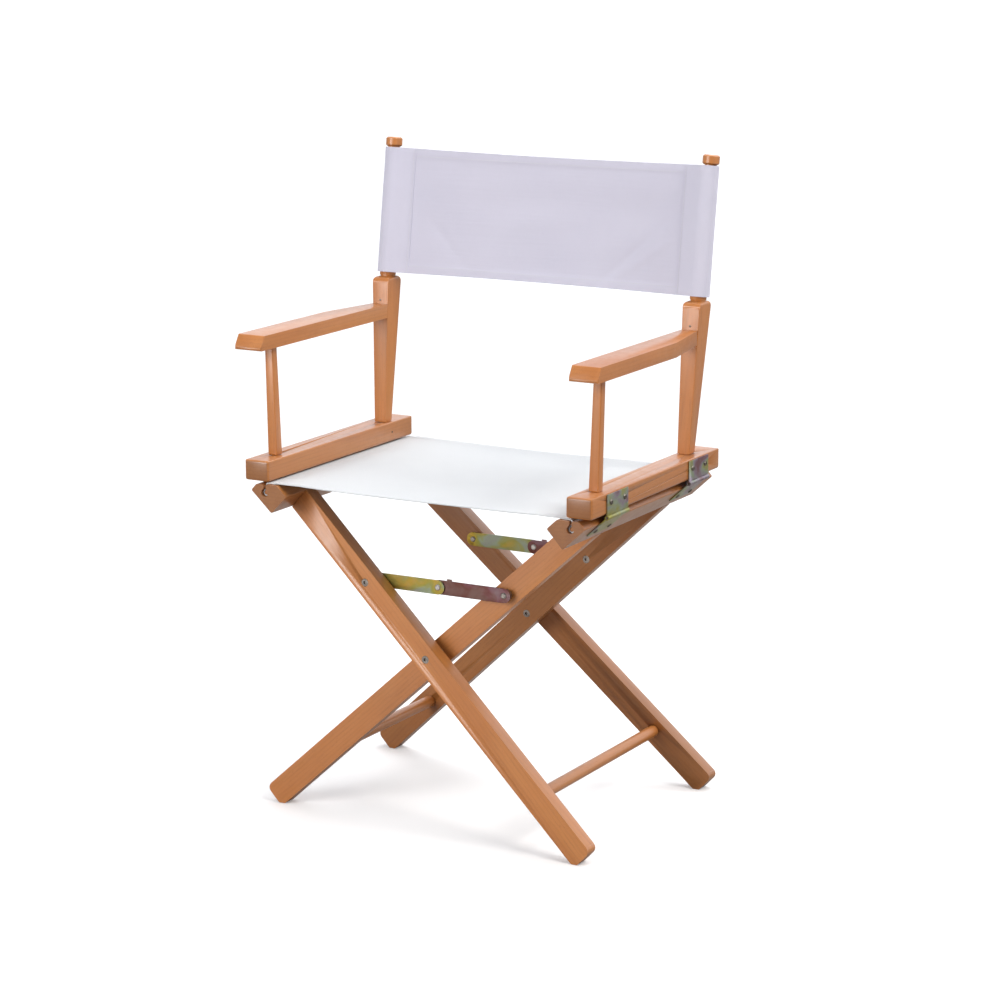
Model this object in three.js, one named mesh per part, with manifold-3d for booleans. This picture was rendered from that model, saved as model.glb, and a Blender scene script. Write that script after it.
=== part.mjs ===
// A wooden folding director's chair with a canvas seat and back.
// Millimetres, +Z up, the front faces -Y, the floor is Z = 0.
//
// Two leg frames cross like scissors on a pivot: the outer frame carries the left seat batten and the
// inner frame the right one. Each side frame (arm rail, posts and armrest) hangs on its batten by two
// butt hinges, and two pairs of brace links stop the scissors when the chair is open.

import * as THREE from "three";
import { mergeVertices } from "three/addons/utils/BufferGeometryUtils.js";
import Module from "manifold-3d";

const wasm = await Module();
wasm.setup();

// ---------------------------------------------------------------- driving dimensions

const fitGap = 0.3;               // between two pieces that touch

// Leg frames
const legAngle = 42.8;            // degrees, leg to floor with the chair open
const pivotHeight = 230;          // scissor pivot above the floor
const legWidth = 33;
const legThickness = 21;
const legSplay = 4.3;             // degrees; the legs spread to the front and rear as they go down
const legGap = 14;                // between an outer leg and the inner leg beside it
const legsDepth = 328;            // front of the front leg to rear of the rear leg, at the pivot
const legsSetBack = 9;            // centre of the leg frames behind the centre of the rails
const footRadius = 8;
const footFlatDepth = 1.2;        // sanded off the round of the foot
const battenDepth = 41.8;         // along the leg
const battenTopDrop = 3.5;        // flat top of the batten below the rail
const battenEndDrop = 10.7;       // upper end of the batten to the hinge knuckles, along the leg
const stretcherRadius = 8;
const tenonRadius = 5.5;          // of the stretchers
const tenonLength = 12;
const outerStretcherAt = 228;     // from the pivot, along the leg
const innerStretcherAt = 220;

// Side frames
const overRails = 506;            // outer face of one rail to outer face of the other
const railWidth = 36.5;
const railHeight = 27;
const railLength = 366;
const postInset = 5.5;            // inner faces of the back post and armrest, outwards of the rail's inner face
const backPostBase = 17;          // along X at the rail
const backPostTop = 25;           // along X at the shoulder
const backPostBaseDepth = 17;     // along Y at the rail
const backPostTopDepth = 35;      // along Y at the shoulder
const backPostSetBack = 47;       // rear of the back post's foot in front of the rail's rear end
const postHeight = 199;           // rail top to shoulder
const frontRakeRun = 11;          // the post's front face runs back this far over its height
const shoulderRadius = 9;         // of the shoulder seen from the side
const shoulderEdge = 4.5;         // and seen from the front
const backRake = 8.3;             // degrees back, of the turned top
const spindleLean = 1.2;          // degrees outwards
const spindleRootRadius = 8.8;    // inside the shoulder
const spindleRootDepth = 25;
const spindleBase = 11;           // radius of the turned top at the shoulder
const spindleNeck = 8;            // radius just under the knob
const spindleLength = 176;        // shoulder to the underside of the knob
const knobRadius = 11.2;
const knobHeight = 12.5;
const knobEdge = 1.8;             // rounding of the knob's two rims
const dowelRadius = 4.5;          // tenons of the posts
const dowelDepth = 10;
const frontPostBase = 13.5;
const frontPostTop = 11.5;
const frontPostSetBack = 45;      // centre of the front post behind the rail's front end
const frontPostOut = 18.2;        // centre of its foot outwards of the rail's inner face
const frontPostLean = 4.5;        // its top is this much further out
const armHeight = 144;            // rail top to armrest underside
const armThickness = 19;
const armWidth = 40;
const armOverhang = 7;            // bottom of the armrest's nose in front of the rail
const armNoseSlope = 12;          // its top edge lies this far behind its bottom edge
const armFacetLength = 96;        // the outer side runs in to the back post over this length
const armCornerRadius = 5;
const armEdgeRadius = 2.5;        // of the nose, along its two edges

// Hinges
const leafLength = 57;
const leafThickness = 1.6;
const leafSetBack = 38;           // from either end of the rail
const knuckleRadius = 3;
const pinRadius = 1.4;
const knuckleCount = 5;
const lowerLeafReach = 38;        // hinge axis to the lower leaf's free edge
const upperLeafTopGap = 1.5;      // upper leaf's edge below the rail's top
const hingeDrop = 3.8;            // hinge axis below the rail
const screwRadius = 1.8;
const screwHeadRadius = 3.6;
const screwHeadHeight = 1.1;
const screwLength = 12;
const screwRise = 15;             // above the underside of the rail
const screwEndInset = 10;         // from the end of the leaf
const lowerScrewReach = 29;       // hinge axis to the lower leaf's screws

// Braces and bolts
const braceReach = 130;           // pivot to brace bolt, along the leg
const linkWidth = 19;
const linkThickness = 1.6;
const boltRadius = 3;
const boltHeadRadius = 5;
const boltHeadDepth = 3;
const socketRadius = 2.4;
const socketDepth = 2.2;
const collarRadius = 7;
const linksSetBack = 1.8;         // first link of a pair behind the face of the outer leg, at the bolt
const spacerRadius = 9;
const rivetHeadRadius = 4;
const rivetHeadHeight = 1.2;
const stopTabLength = 7;
const stopTabHeight = 2.4;
const stopTabInset = 3;           // from the round end of the link

// Canvas
const canvasThickness = 1.6;
const hemRodRadius = 2.8;
const hemRodInset = 6.5;          // outwards of the rail's inner face
const keyholeSlot = 3.4;
const keyholeRadius = 5.2;
const keyholeDepth = 11;          // batten top to centre of the hole
const seatFrontInset = 5;         // seat canvas behind the rail's front end
const seatRearInset = 3;
const backCanvasHeight = 168.5;
const backCanvasRise = 5.5;       // above the shoulder
const pocketSeam = 47;            // outer edge of the back canvas to the seam of its pocket
const pocketSlack = 2;            // between the spindle and the pocket

// ---------------------------------------------------------------- derived places

const slope = THREE.MathUtils.degToRad(legAngle);
const splay = Math.tan(THREE.MathUtils.degToRad(legSplay));
const railOut = overRails / 2;
const railIn = railOut - railWidth;
const railFront = -railLength / 2;
const railRear = railLength / 2;
const postIn = railIn + postInset;

const hingeX = railOut + fitGap + leafThickness / 2;
const hingeAcross = -(legWidth / 2 + fitGap + leafThickness / 2);
const hingeAlong = (hingeX + hingeAcross * Math.sin(slope)) / Math.cos(slope);
const hingeZ = pivotHeight + hingeAlong * Math.sin(slope) + hingeAcross * Math.cos(slope);

const railBottom = hingeZ + hingeDrop;
const railTop = railBottom + railHeight;
const battenTop = railBottom - battenTopDrop;
const armBottom = railTop + armHeight;
const shoulderZ = railTop + postHeight;

const outerFront = legsSetBack - legsDepth / 2;
const innerFront = outerFront + legThickness + legGap;
const innerRear = legsSetBack * 2 - innerFront - legThickness;
const outerRear = legsSetBack * 2 - outerFront - legThickness;

const battenStart = hingeAlong - knuckleRadius - battenDepth - battenEndDrop;
const battenEnd = battenStart + battenDepth;
const hemRodX = railIn + hemRodInset;
const hemRodZ = battenTop - keyholeDepth;

const footCentre = (pivotHeight - (legWidth / 2 - footRadius) * Math.cos(slope)
  - footRadius + footFlatDepth) / Math.sin(slope);
const footEnd = footCentre + footRadius;

const roundSides = 20;
const fineSides = 14;
const cornerSteps = 4;

// ---------------------------------------------------------------- materials

const beech = new THREE.MeshStandardMaterial({ color: 0xc98a55, roughness: 0.45, metalness: 0 });
const canvas = new THREE.MeshStandardMaterial({ color: 0xe3e4ee, roughness: 0.9, metalness: 0 });
const zinc = new THREE.MeshStandardMaterial({ color: 0x9fae82, roughness: 0.35, metalness: 0.9 });
const steel = new THREE.MeshStandardMaterial({ color: 0x8d7f78, roughness: 0.4, metalness: 0.9 });

// ---------------------------------------------------------------- outlines

function arc(x, y, radius, start, end, steps) {
  return Array.from({ length: steps + 1 }, (_, step) => {
    const angle = start + ((end - start) * step) / steps;
    return new THREE.Vector2(x + radius * Math.cos(angle), y + radius * Math.sin(angle));
  });
}

function circle(x, y, radius, sides = roundSides) {
  return arc(x, y, radius, 0, 2 * Math.PI, sides).slice(0, sides);
}

// Each corner is [x, y] or [x, y, radius].
function rounded(corners) {
  const at = (index) => new THREE.Vector2(...corners[(index + corners.length) % corners.length]);
  return corners.flatMap(([x, y, radius = 0], index) => {
    const corner = new THREE.Vector2(x, y);
    if (radius === 0) {
      return [corner];
    }
    const back = at(index - 1).sub(corner).normalize();
    const ahead = at(index + 1).sub(corner).normalize();
    const half = Math.acos(back.dot(ahead)) / 2;
    const centre = back.clone().add(ahead).normalize().multiplyScalar(radius / Math.sin(half)).add(corner);
    const first = back.multiplyScalar(radius / Math.tan(half)).add(corner).sub(centre).angle();
    const last = ahead.multiplyScalar(radius / Math.tan(half)).add(corner).sub(centre).angle();
    let sweep = last - first;
    sweep -= 2 * Math.PI * Math.round(sweep / (2 * Math.PI));
    return arc(centre.x, centre.y, radius, first, first + sweep, cornerSteps);
  });
}

// ---------------------------------------------------------------- solids

function extrude(outline, depth, holes = []) {
  const shape = new THREE.Shape(outline);
  shape.holes = holes.map((hole) => new THREE.Path(hole));
  return new THREE.ExtrudeGeometry(shape, { depth, bevelEnabled: false, steps: 1 });
}

// An outline in X and Z, from Y = start to Y = end.
function alongY(outline, start, end, holes = []) {
  return extrude(outline, end - start, holes).rotateX(Math.PI / 2).translate(0, end, 0);
}

// An outline in Y and Z, from X = start to X = end.
function alongX(outline, start, end, holes = []) {
  const turn = new THREE.Matrix4().makeBasis(
    new THREE.Vector3(0, 1, 0),
    new THREE.Vector3(0, 0, 1),
    new THREE.Vector3(1, 0, 0),
  );
  return extrude(outline, end - start, holes).applyMatrix4(turn).translate(start, 0, 0);
}

// An outline in X and Y, from Z = start to Z = end.
function alongZ(outline, start, end, holes = []) {
  return extrude(outline, end - start, holes).translate(0, 0, start);
}

// A turned piece on the Y axis; the profile is [radius, y] from one end to the other.
function turned(profile, sides = roundSides) {
  return new THREE.LatheGeometry(profile.map(([radius, y]) => new THREE.Vector2(radius, y)), sides);
}

function rodAlongY(radius, start, end, sides = roundSides) {
  return new THREE.CylinderGeometry(radius, radius, end - start, sides).translate(0, (start + end) / 2, 0);
}

function rodAlongX(radius, start, end, sides = roundSides) {
  const rod = new THREE.CylinderGeometry(radius, radius, Math.abs(end - start), sides);
  return rod.rotateZ(Math.PI / 2).translate((start + end) / 2, 0, 0);
}

function rodAlongZ(radius, start, end, sides = roundSides) {
  const rod = new THREE.CylinderGeometry(radius, radius, end - start, sides);
  return rod.rotateX(Math.PI / 2).translate(0, 0, (start + end) / 2);
}

function toSolid(geometry) {
  const bare = geometry.clone();
  bare.deleteAttribute("normal");
  bare.deleteAttribute("uv");
  const merged = mergeVertices(bare, 1e-4);
  const flat = merged.index.array;
  const corners = [];
  for (let i = 0; i < flat.length; i += 3) {
    const [a, b, c] = [flat[i], flat[i + 1], flat[i + 2]];
    if (a !== b && b !== c && c !== a) {
      corners.push(a, b, c);
    }
  }
  return new wasm.Manifold(new wasm.Mesh({
    numProp: 3,
    vertProperties: new Float32Array(merged.attributes.position.array),
    triVerts: new Uint32Array(corners),
  }));
}

function toGeometry(solid) {
  const mesh = solid.getMesh();
  const geometry = new THREE.BufferGeometry();
  geometry.setAttribute("position", new THREE.BufferAttribute(new Float32Array(mesh.vertProperties), 3));
  geometry.setIndex(new THREE.BufferAttribute(new Uint32Array(mesh.triVerts), 1));
  return geometry;
}

function cut(base, ...tools) {
  return toGeometry(tools.reduce((solid, tool) => solid.subtract(toSolid(tool)), toSolid(base)));
}

function join(base, ...others) {
  return toGeometry(others.reduce((solid, other) => solid.add(toSolid(other)), toSolid(base)));
}

function common(first, second) {
  return toGeometry(toSolid(first).intersect(toSolid(second)));
}

function piece(name, geometry, material) {
  const mesh = new THREE.Mesh(geometry, material);
  mesh.name = name;
  return mesh;
}

// ---------------------------------------------------------------- leg frames
// A leg frame is drawn in its own axes: X runs up the leg from the pivot, Z across it. hand is 1 for
// the inner frame, whose top is on the right, and -1 for the outer frame, its mirror image.

// Front legs have way 1 and rear legs -1: the shift of a leg along Y at a place along it.
function drift(along, way) {
  return way * splay * along;
}

function splayed(geometry, way) {
  const shear = new THREE.Matrix4().set(
    1, 0, 0, 0,
    way * splay, 1, 0, 0,
    0, 0, 1, 0,
    0, 0, 0, 1,
  );
  return geometry.clone().applyMatrix4(shear);
}

// Room between a round end that is square to Y and the slanting face of a leg.
function faceRoom(radius) {
  return fitGap + splay * radius;
}

// The hole for a bolt, with the countersink of its head at the end that the head sits in.
function boltHole(along, legFront, way, headInFront) {
  const front = legFront + drift(along, way);
  const rear = front + legThickness;
  const face = headInFront ? front : rear;
  const into = headInFront ? 1 : -1;
  const head = rodAlongY(boltHeadRadius + fitGap, ...sorted(face - into, face + into * (boltHeadDepth + fitGap)));
  const shank = rodAlongY(boltRadius + fitGap, front - 1, rear + 1, fineSides);
  return toGeometry(toSolid(head).add(toSolid(shank))).translate(along, 0, 0);
}

function sorted(a, b) {
  return a < b ? [a, b] : [b, a];
}

function legOutline(hand) {
  const low = -legWidth / 2;
  const centreAlong = footRadius - footEnd;
  const centreAcross = low + footRadius;
  const down = 1.5 * Math.PI - slope;
  const flatHalf = Math.acos((footRadius - footFlatDepth) / footRadius);
  const points = [
    ...rounded([
      [battenStart - fitGap, low],
      [battenStart - fitGap, -low],
      [-footEnd, -low, footRadius],
      [-footEnd, low],
    ]).slice(0, -1),
    ...arc(centreAlong, centreAcross, footRadius, Math.PI, down - flatHalf, cornerSteps),
    ...arc(centreAlong, centreAcross, footRadius, down + flatHalf, 1.5 * Math.PI, cornerSteps),
  ];
  return points.map((point) => new THREE.Vector2(point.x, point.y * hand));
}

function leg(hand, front, way, stretcherAt, bores) {
  const rear = front + legThickness;
  const inward = (way > 0 ? rear : front) + drift(-stretcherAt, way);
  const depth = -way * (tenonLength + fitGap);
  const mortise = rodAlongY(tenonRadius + fitGap, ...sorted(inward + way, inward + depth));
  const body = splayed(alongY(legOutline(hand), front, rear), way);
  return cut(body, mortise.translate(-stretcherAt, 0, 0), ...bores);
}

// Rectangle in line with the leg, its upper corner cut level, with a keyhole for the canvas hem.
function battenOutline(hand) {
  const half = legWidth / 2;
  const topAcross = (along) => (battenTop - pivotHeight - along * Math.sin(slope)) / Math.cos(slope);
  const topAlong = (battenTop - pivotHeight - half * Math.cos(slope)) / Math.sin(slope);
  const level = (x, z) => new THREE.Vector2(
    x * Math.cos(slope) + (z - pivotHeight) * Math.sin(slope),
    -x * Math.sin(slope) + (z - pivotHeight) * Math.cos(slope),
  );
  const opening = Math.asin(keyholeSlot / 2 / keyholeRadius);
  const hole = arc(hemRodX, hemRodZ, keyholeRadius, Math.PI / 2 - opening,
    Math.PI / 2 + opening - 2 * Math.PI, fineSides).map((point) => level(point.x, point.y));
  const points = [
    new THREE.Vector2(battenStart, -half),
    new THREE.Vector2(battenEnd, -half),
    new THREE.Vector2(battenEnd, topAcross(battenEnd)),
    level(hemRodX + keyholeSlot / 2, battenTop),
    ...hole,
    level(hemRodX - keyholeSlot / 2, battenTop),
    new THREE.Vector2(topAlong, half),
    new THREE.Vector2(battenStart, half),
  ];
  return points.map((point) => new THREE.Vector2(point.x, point.y * hand));
}

function screwPlaces(start) {
  return [start + screwEndInset, start + leafLength - screwEndInset];
}

function batten(hand) {
  const face = hingeAcross * hand;
  const pilots = leafStarts().flatMap((start) => screwPlaces(start).map((y) => {
    const pilot = rodAlongZ(screwRadius, -screwLength, screwLength, fineSides);
    return pilot.translate(hingeAlong - lowerScrewReach, y, face);
  }));
  return cut(alongY(battenOutline(hand), railFront, railRear), ...pilots);
}

// From the rear face of the front leg to the front face of the rear leg.
function stretcher(stretcherAt, legFront, legRear) {
  const front = legFront + drift(-stretcherAt, 1);
  const rear = legRear + drift(-stretcherAt, -1);
  const profile = [
    [0, front - tenonLength],
    [tenonRadius, front - tenonLength],
    [tenonRadius, front + faceRoom(stretcherRadius)],
    [stretcherRadius, front + faceRoom(stretcherRadius)],
    [stretcherRadius, rear - faceRoom(stretcherRadius)],
    [tenonRadius, rear - faceRoom(stretcherRadius)],
    [tenonRadius, rear + tenonLength],
    [0, rear + tenonLength],
  ];
  return turned(profile).translate(-stretcherAt, 0, 0);
}

// Bolt on the Y axis: countersunk head with a socket at y = 0, shank along +Y or -Y.
function bolt(face, direction, length, collar, tailRadius) {
  const at = (depth) => face + direction * depth;
  const profile = [
    [0, at(socketDepth)],
    [socketRadius, at(socketDepth)],
    [socketRadius, at(0)],
    [boltHeadRadius, at(0)],
    [boltHeadRadius, at(boltHeadDepth)],
    [boltRadius, at(boltHeadDepth)],
    ...(collar ? [
      [boltRadius, at(collar[0])],
      [collarRadius, at(collar[0])],
      [collarRadius, at(collar[1])],
      [boltRadius, at(collar[1])],
    ] : []),
    ...(tailRadius ? [
      [boltRadius, at(length - rivetHeadHeight)],
      [tailRadius, at(length - rivetHeadHeight)],
      [tailRadius * 0.7, at(length)],
    ] : [[boltRadius, at(length)]]),
    [0, at(length)],
  ];
  return turned(direction > 0 ? profile : profile.reverse(), fineSides);
}

// ---------------------------------------------------------------- hinges

function leafStarts() {
  return [railFront + leafSetBack, railRear - leafSetBack - leafLength];
}

// One leaf: a plate with its knuckles, on an axis along Y through the origin. The plate runs up +Z
// from the axis. Odd knuckles belong to the upper leaf and even ones to the lower leaf.
function leaf(start, isUpper, plateEnd) {
  const pitch = leafLength / knuckleCount;
  const plateLow = knuckleRadius + fitGap;
  const plate = (low, high) => [
    new THREE.Vector2(-leafThickness / 2, low),
    new THREE.Vector2(leafThickness / 2, low),
    new THREE.Vector2(leafThickness / 2, high),
    new THREE.Vector2(-leafThickness / 2, high),
  ];
  const knuckles = [];
  for (let index = isUpper ? 0 : 1; index < knuckleCount; index += 2) {
    const from = start + pitch * index + (index ? fitGap / 2 : 0);
    const to = start + pitch * (index + 1) - (index < knuckleCount - 1 ? fitGap / 2 : 0);
    knuckles.push(alongY(plate(0, plateLow + 1), from, to));
    knuckles.push(rodAlongY(knuckleRadius, from, to, fineSides));
  }
  const bore = rodAlongY(pinRadius + fitGap, start - 1, start + leafLength + 1, fineSides);
  return cut(join(alongY(plate(plateLow, plateEnd), start, start + leafLength), ...knuckles), bore);
}

function drilledLeaf(start, isUpper, plateEnd, screwReach) {
  const holes = screwPlaces(start).map((y) => (
    rodAlongX(screwRadius + fitGap, -knuckleRadius, knuckleRadius, fineSides).translate(0, y, screwReach)
  ));
  return cut(leaf(start, isUpper, plateEnd), ...holes);
}

function upperLeaf(start) {
  return drilledLeaf(start, true, hingeDrop + railHeight - upperLeafTopGap, hingeDrop + screwRise);
}

function lowerLeaf(start) {
  return drilledLeaf(start, false, lowerLeafReach, lowerScrewReach);
}

// Screw on the X axis: its head outside the leaf, its shank inwards.
function leafScrew(side) {
  const seat = railOut + leafThickness + 2 * fitGap;
  const profile = [
    [0, railOut - screwLength],
    [screwRadius, railOut - screwLength],
    [screwRadius, seat],
    [screwHeadRadius, seat],
    [screwHeadRadius * 0.75, seat + screwHeadHeight],
    [0, seat + screwHeadHeight],
  ];
  return turned(profile, fineSides).rotateZ(-side * Math.PI / 2);
}

// ---------------------------------------------------------------- brace links

// A flat link from its bolt at the origin to the knee; toKnee is its length and sign along X.
function link(toKnee, y, hasTab) {
  const end = linkWidth / 2;
  const way = Math.sign(toKnee);
  const round = [
    ...arc(0, 0, end, Math.PI / 2, 1.5 * Math.PI, 8),
    ...arc(Math.abs(toKnee), 0, end, -Math.PI / 2, Math.PI / 2, 8),
  ].map((point) => new THREE.Vector2(point.x * way, point.y));
  const plate = alongY(round, y, y + linkThickness, [
    circle(0, 0, boltRadius + fitGap, fineSides),
    circle(toKnee, 0, boltRadius + fitGap, fineSides),
  ]);
  if (!hasTab) {
    return plate;
  }
  const low = end - 1;
  const near = toKnee - way * (end + stopTabInset);
  const tab = [
    new THREE.Vector2(near, low),
    new THREE.Vector2(near - way * stopTabLength, low),
    new THREE.Vector2(near - way * stopTabLength, end + stopTabHeight),
    new THREE.Vector2(near, end + stopTabHeight),
  ];
  return join(plate, alongY(tab, y, y + linkThickness));
}

// Half of the knee rivet: a domed head and a shank that fills one link.
function rivetHalf(headFace, direction) {
  const at = (depth) => headFace + direction * depth;
  const profile = [
    [0, at(-rivetHeadHeight)],
    [rivetHeadRadius * 0.7, at(-rivetHeadHeight)],
    [rivetHeadRadius, at(-fitGap)],
    [boltRadius, at(-fitGap)],
    [boltRadius, at(linkThickness)],
    [0, at(linkThickness)],
  ];
  return turned(direction > 0 ? profile : profile.reverse(), fineSides);
}

// ---------------------------------------------------------------- side frames

const backPostFront = railRear - backPostSetBack - backPostBaseDepth;
const backPostRear = railRear - backPostSetBack;
const spindleX = postIn + backPostTop / 2;
const spindleY = backPostFront + frontRakeRun + backPostTopDepth / 2 + 2;
const frontPostY = railFront + frontPostSetBack;
const frontPostX = railIn + frontPostOut;

function mirrored(points, side) {
  return points.map((point) => new THREE.Vector2(point.x * side, point.y));
}

function armRail(side) {
  const section = mirrored([
    new THREE.Vector2(railIn, railBottom),
    new THREE.Vector2(railOut, railBottom),
    new THREE.Vector2(railOut, railTop),
    new THREE.Vector2(railIn, railTop),
  ], side);
  const socket = (x, y) => rodAlongZ(dowelRadius + fitGap, railTop - dowelDepth - fitGap, railTop + 1)
    .translate(x * side, y, 0);
  const pilots = leafStarts().flatMap((start) => screwPlaces(start).map((y) => (
    rodAlongX(screwRadius + fitGap, (railOut - screwLength - 1) * side, (railOut + 1) * side, fineSides)
      .translate(0, y, railBottom + screwRise)
  )));
  return cut(
    alongY(section, railFront, railRear),
    socket(frontPostX, frontPostY),
    socket(postIn + backPostBase / 2, (backPostFront + backPostRear) / 2),
    ...pilots,
  );
}

function frontPost(side) {
  const bottom = railTop + fitGap;
  const top = armBottom - fitGap;
  const across = mirrored([
    new THREE.Vector2(frontPostX - frontPostBase / 2, bottom),
    new THREE.Vector2(frontPostX + frontPostBase / 2, bottom),
    new THREE.Vector2(frontPostX + frontPostLean + frontPostTop / 2, top),
    new THREE.Vector2(frontPostX + frontPostLean - frontPostTop / 2, top),
  ], side);
  const deep = [
    new THREE.Vector2(frontPostY - frontPostBase / 2, bottom),
    new THREE.Vector2(frontPostY + frontPostBase / 2, bottom),
    new THREE.Vector2(frontPostY + frontPostTop / 2, top),
    new THREE.Vector2(frontPostY - frontPostTop / 2, top),
  ];
  const body = common(
    alongY(across, railFront, 0),
    alongX(deep, ...sorted(0, railOut * side * 1.1)),
  );
  const lower = rodAlongZ(dowelRadius, railTop - dowelDepth, bottom + 5, fineSides)
    .translate(frontPostX * side, frontPostY, 0);
  const upper = rodAlongZ(dowelRadius, top - 5, armBottom + dowelDepth, fineSides)
    .translate((frontPostX + frontPostLean) * side, frontPostY, 0);
  return join(body, lower, upper);
}

// The spindle leans back and a little outwards from the middle of the shoulder.
function spindleAxis(geometry, side) {
  return geometry
    .rotateX(Math.PI / 2 - THREE.MathUtils.degToRad(backRake))
    .rotateY(THREE.MathUtils.degToRad(spindleLean) * side)
    .translate(spindleX * side, spindleY, shoulderZ);
}

function backPost(side) {
  const bottom = railTop + fitGap;
  const across = mirrored([
    new THREE.Vector2(postIn, bottom),
    new THREE.Vector2(postIn + backPostBase, bottom),
    ...rounded([
      [postIn + backPostBase, bottom],
      [postIn + backPostTop, shoulderZ, shoulderEdge],
      [postIn, shoulderZ, shoulderEdge],
      [postIn, bottom],
    ]).slice(1, -1),
  ], side);
  const shoulderFront = backPostFront + frontRakeRun;
  const deep = rounded([
    [backPostFront, bottom],
    [backPostRear, bottom],
    [shoulderFront + backPostTopDepth, shoulderZ, shoulderRadius],
    [shoulderFront, shoulderZ, shoulderRadius],
  ]);
  const body = common(
    alongY(across, 0, railRear * 1.5),
    alongX(deep, ...sorted(0, railOut * side * 1.1)),
  );
  const profile = [
    [0, -spindleRootDepth],
    [spindleRootRadius, -spindleRootDepth],
    [spindleRootRadius, -2],
    [spindleBase, 2],
    [spindleNeck, spindleLength],
    [knobRadius - knobEdge, spindleLength],
    [knobRadius, spindleLength + knobEdge],
    [knobRadius, spindleLength + knobHeight - knobEdge],
    [knobRadius - knobEdge, spindleLength + knobHeight],
    [0, spindleLength + knobHeight],
  ];
  const dowel = rodAlongZ(dowelRadius, railTop - dowelDepth, bottom + 5, fineSides)
    .translate((postIn + backPostBase / 2) * side, (backPostFront + backPostRear) / 2, 0);
  return join(body, spindleAxis(turned(profile), side), dowel);
}

// Where the front face of the back post is at a height.
function postFrontAt(z) {
  return backPostFront + (frontRakeRun * (z - railTop)) / postHeight;
}

function postOutAt(z) {
  return postIn + backPostBase + ((backPostTop - backPostBase) * (z - railTop)) / postHeight;
}

function armrest(side) {
  const armTop = armBottom + armThickness;
  const nose = railFront - armOverhang;
  const rearOut = postOutAt(armBottom);
  const reach = postFrontAt(armBottom) - fitGap;
  const plan = mirrored(rounded([
    [postIn, nose, armCornerRadius],
    [postIn + armWidth, nose, armCornerRadius],
    [postIn + armWidth, reach - armFacetLength],
    [rearOut, reach],
    [rearOut, railRear],
    [postIn, railRear],
  ]), side);
  const profile = rounded([
    [nose, armBottom, armEdgeRadius],
    [reach, armBottom],
    [postFrontAt(armTop) - fitGap, armTop],
    [nose + armNoseSlope, armTop, armEdgeRadius],
  ]);
  const socket = rodAlongZ(dowelRadius + fitGap, armBottom - 1, armBottom + dowelDepth + fitGap)
    .translate((frontPostX + frontPostLean) * side, frontPostY, 0);
  const body = common(
    alongZ(plan, armBottom - 1, armTop + 1),
    alongX(profile, ...sorted((postIn - 1) * side, (postIn + armWidth + 1) * side)),
  );
  return cut(body, socket);
}

// ---------------------------------------------------------------- canvas

// The seat hangs from a hem round the rod in each keyhole.
function seatCanvas() {
  const hemOut = hemRodRadius + fitGap + canvasThickness / 2;
  const hemIn = hemRodRadius + fitGap;
  const half = canvasThickness / 2;
  const sheetTop = battenTop + fitGap + canvasThickness;
  const opening = Math.asin(half / hemOut);
  const loop = (side) => arc(hemRodX * side, hemRodZ, hemOut, Math.PI / 2 - opening,
    Math.PI / 2 + opening - 2 * Math.PI, roundSides);
  const outline = [
    ...loop(1),
    new THREE.Vector2(hemRodX - half, battenTop + fitGap),
    new THREE.Vector2(-hemRodX + half, battenTop + fitGap),
    ...loop(-1),
    new THREE.Vector2(-hemRodX - half, sheetTop),
    new THREE.Vector2(hemRodX + half, sheetTop),
  ];
  const holes = [-1, 1].map((side) => circle(hemRodX * side, hemRodZ, hemIn));
  return alongY(outline, railFront + seatFrontInset, railRear - seatRearInset, holes);
}

// The back is a sheet with a teardrop pocket round each spindle.
function backCanvas() {
  const inner = spindleBase + pocketSlack;
  const outer = inner + canvasThickness;
  const seam = spindleX + outer - pocketSeam;
  const half = canvasThickness / 2;
  const tangent = Math.acos(outer / (spindleX - seam));
  const pocket = (radius) => arc(spindleX, 0, radius, tangent - Math.PI, Math.PI - tangent, roundSides);
  const left = (points) => points.map((point) => new THREE.Vector2(-point.x, -point.y));
  const outline = [
    new THREE.Vector2(seam, -half),
    ...pocket(outer),
    new THREE.Vector2(seam, half),
    new THREE.Vector2(-seam, half),
    ...left(pocket(outer)),
    new THREE.Vector2(-seam, -half),
  ];
  const holes = [
    [...pocket(inner), new THREE.Vector2(seam + canvasThickness * 3, 0)],
    [...left(pocket(inner)), new THREE.Vector2(-seam - canvasThickness * 3, 0)],
  ];
  return alongZ(outline, backCanvasRise, backCanvasRise + backCanvasHeight, holes)
    .rotateX(-THREE.MathUtils.degToRad(backRake))
    .translate(0, spindleY, shoulderZ);
}

// ---------------------------------------------------------------- assembly

const chair = new THREE.Group();

function legFrame(hand) {
  const frame = new THREE.Group();
  frame.position.z = pivotHeight;
  frame.rotation.y = hand > 0 ? -slope : slope - Math.PI;
  return frame;
}

const frames = {
  outer: { hand: -1, side: "left", front: outerFront, rear: outerRear, stretcherAt: outerStretcherAt },
  inner: { hand: 1, side: "right", front: innerFront, rear: innerRear, stretcherAt: innerStretcherAt },
};

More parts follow.
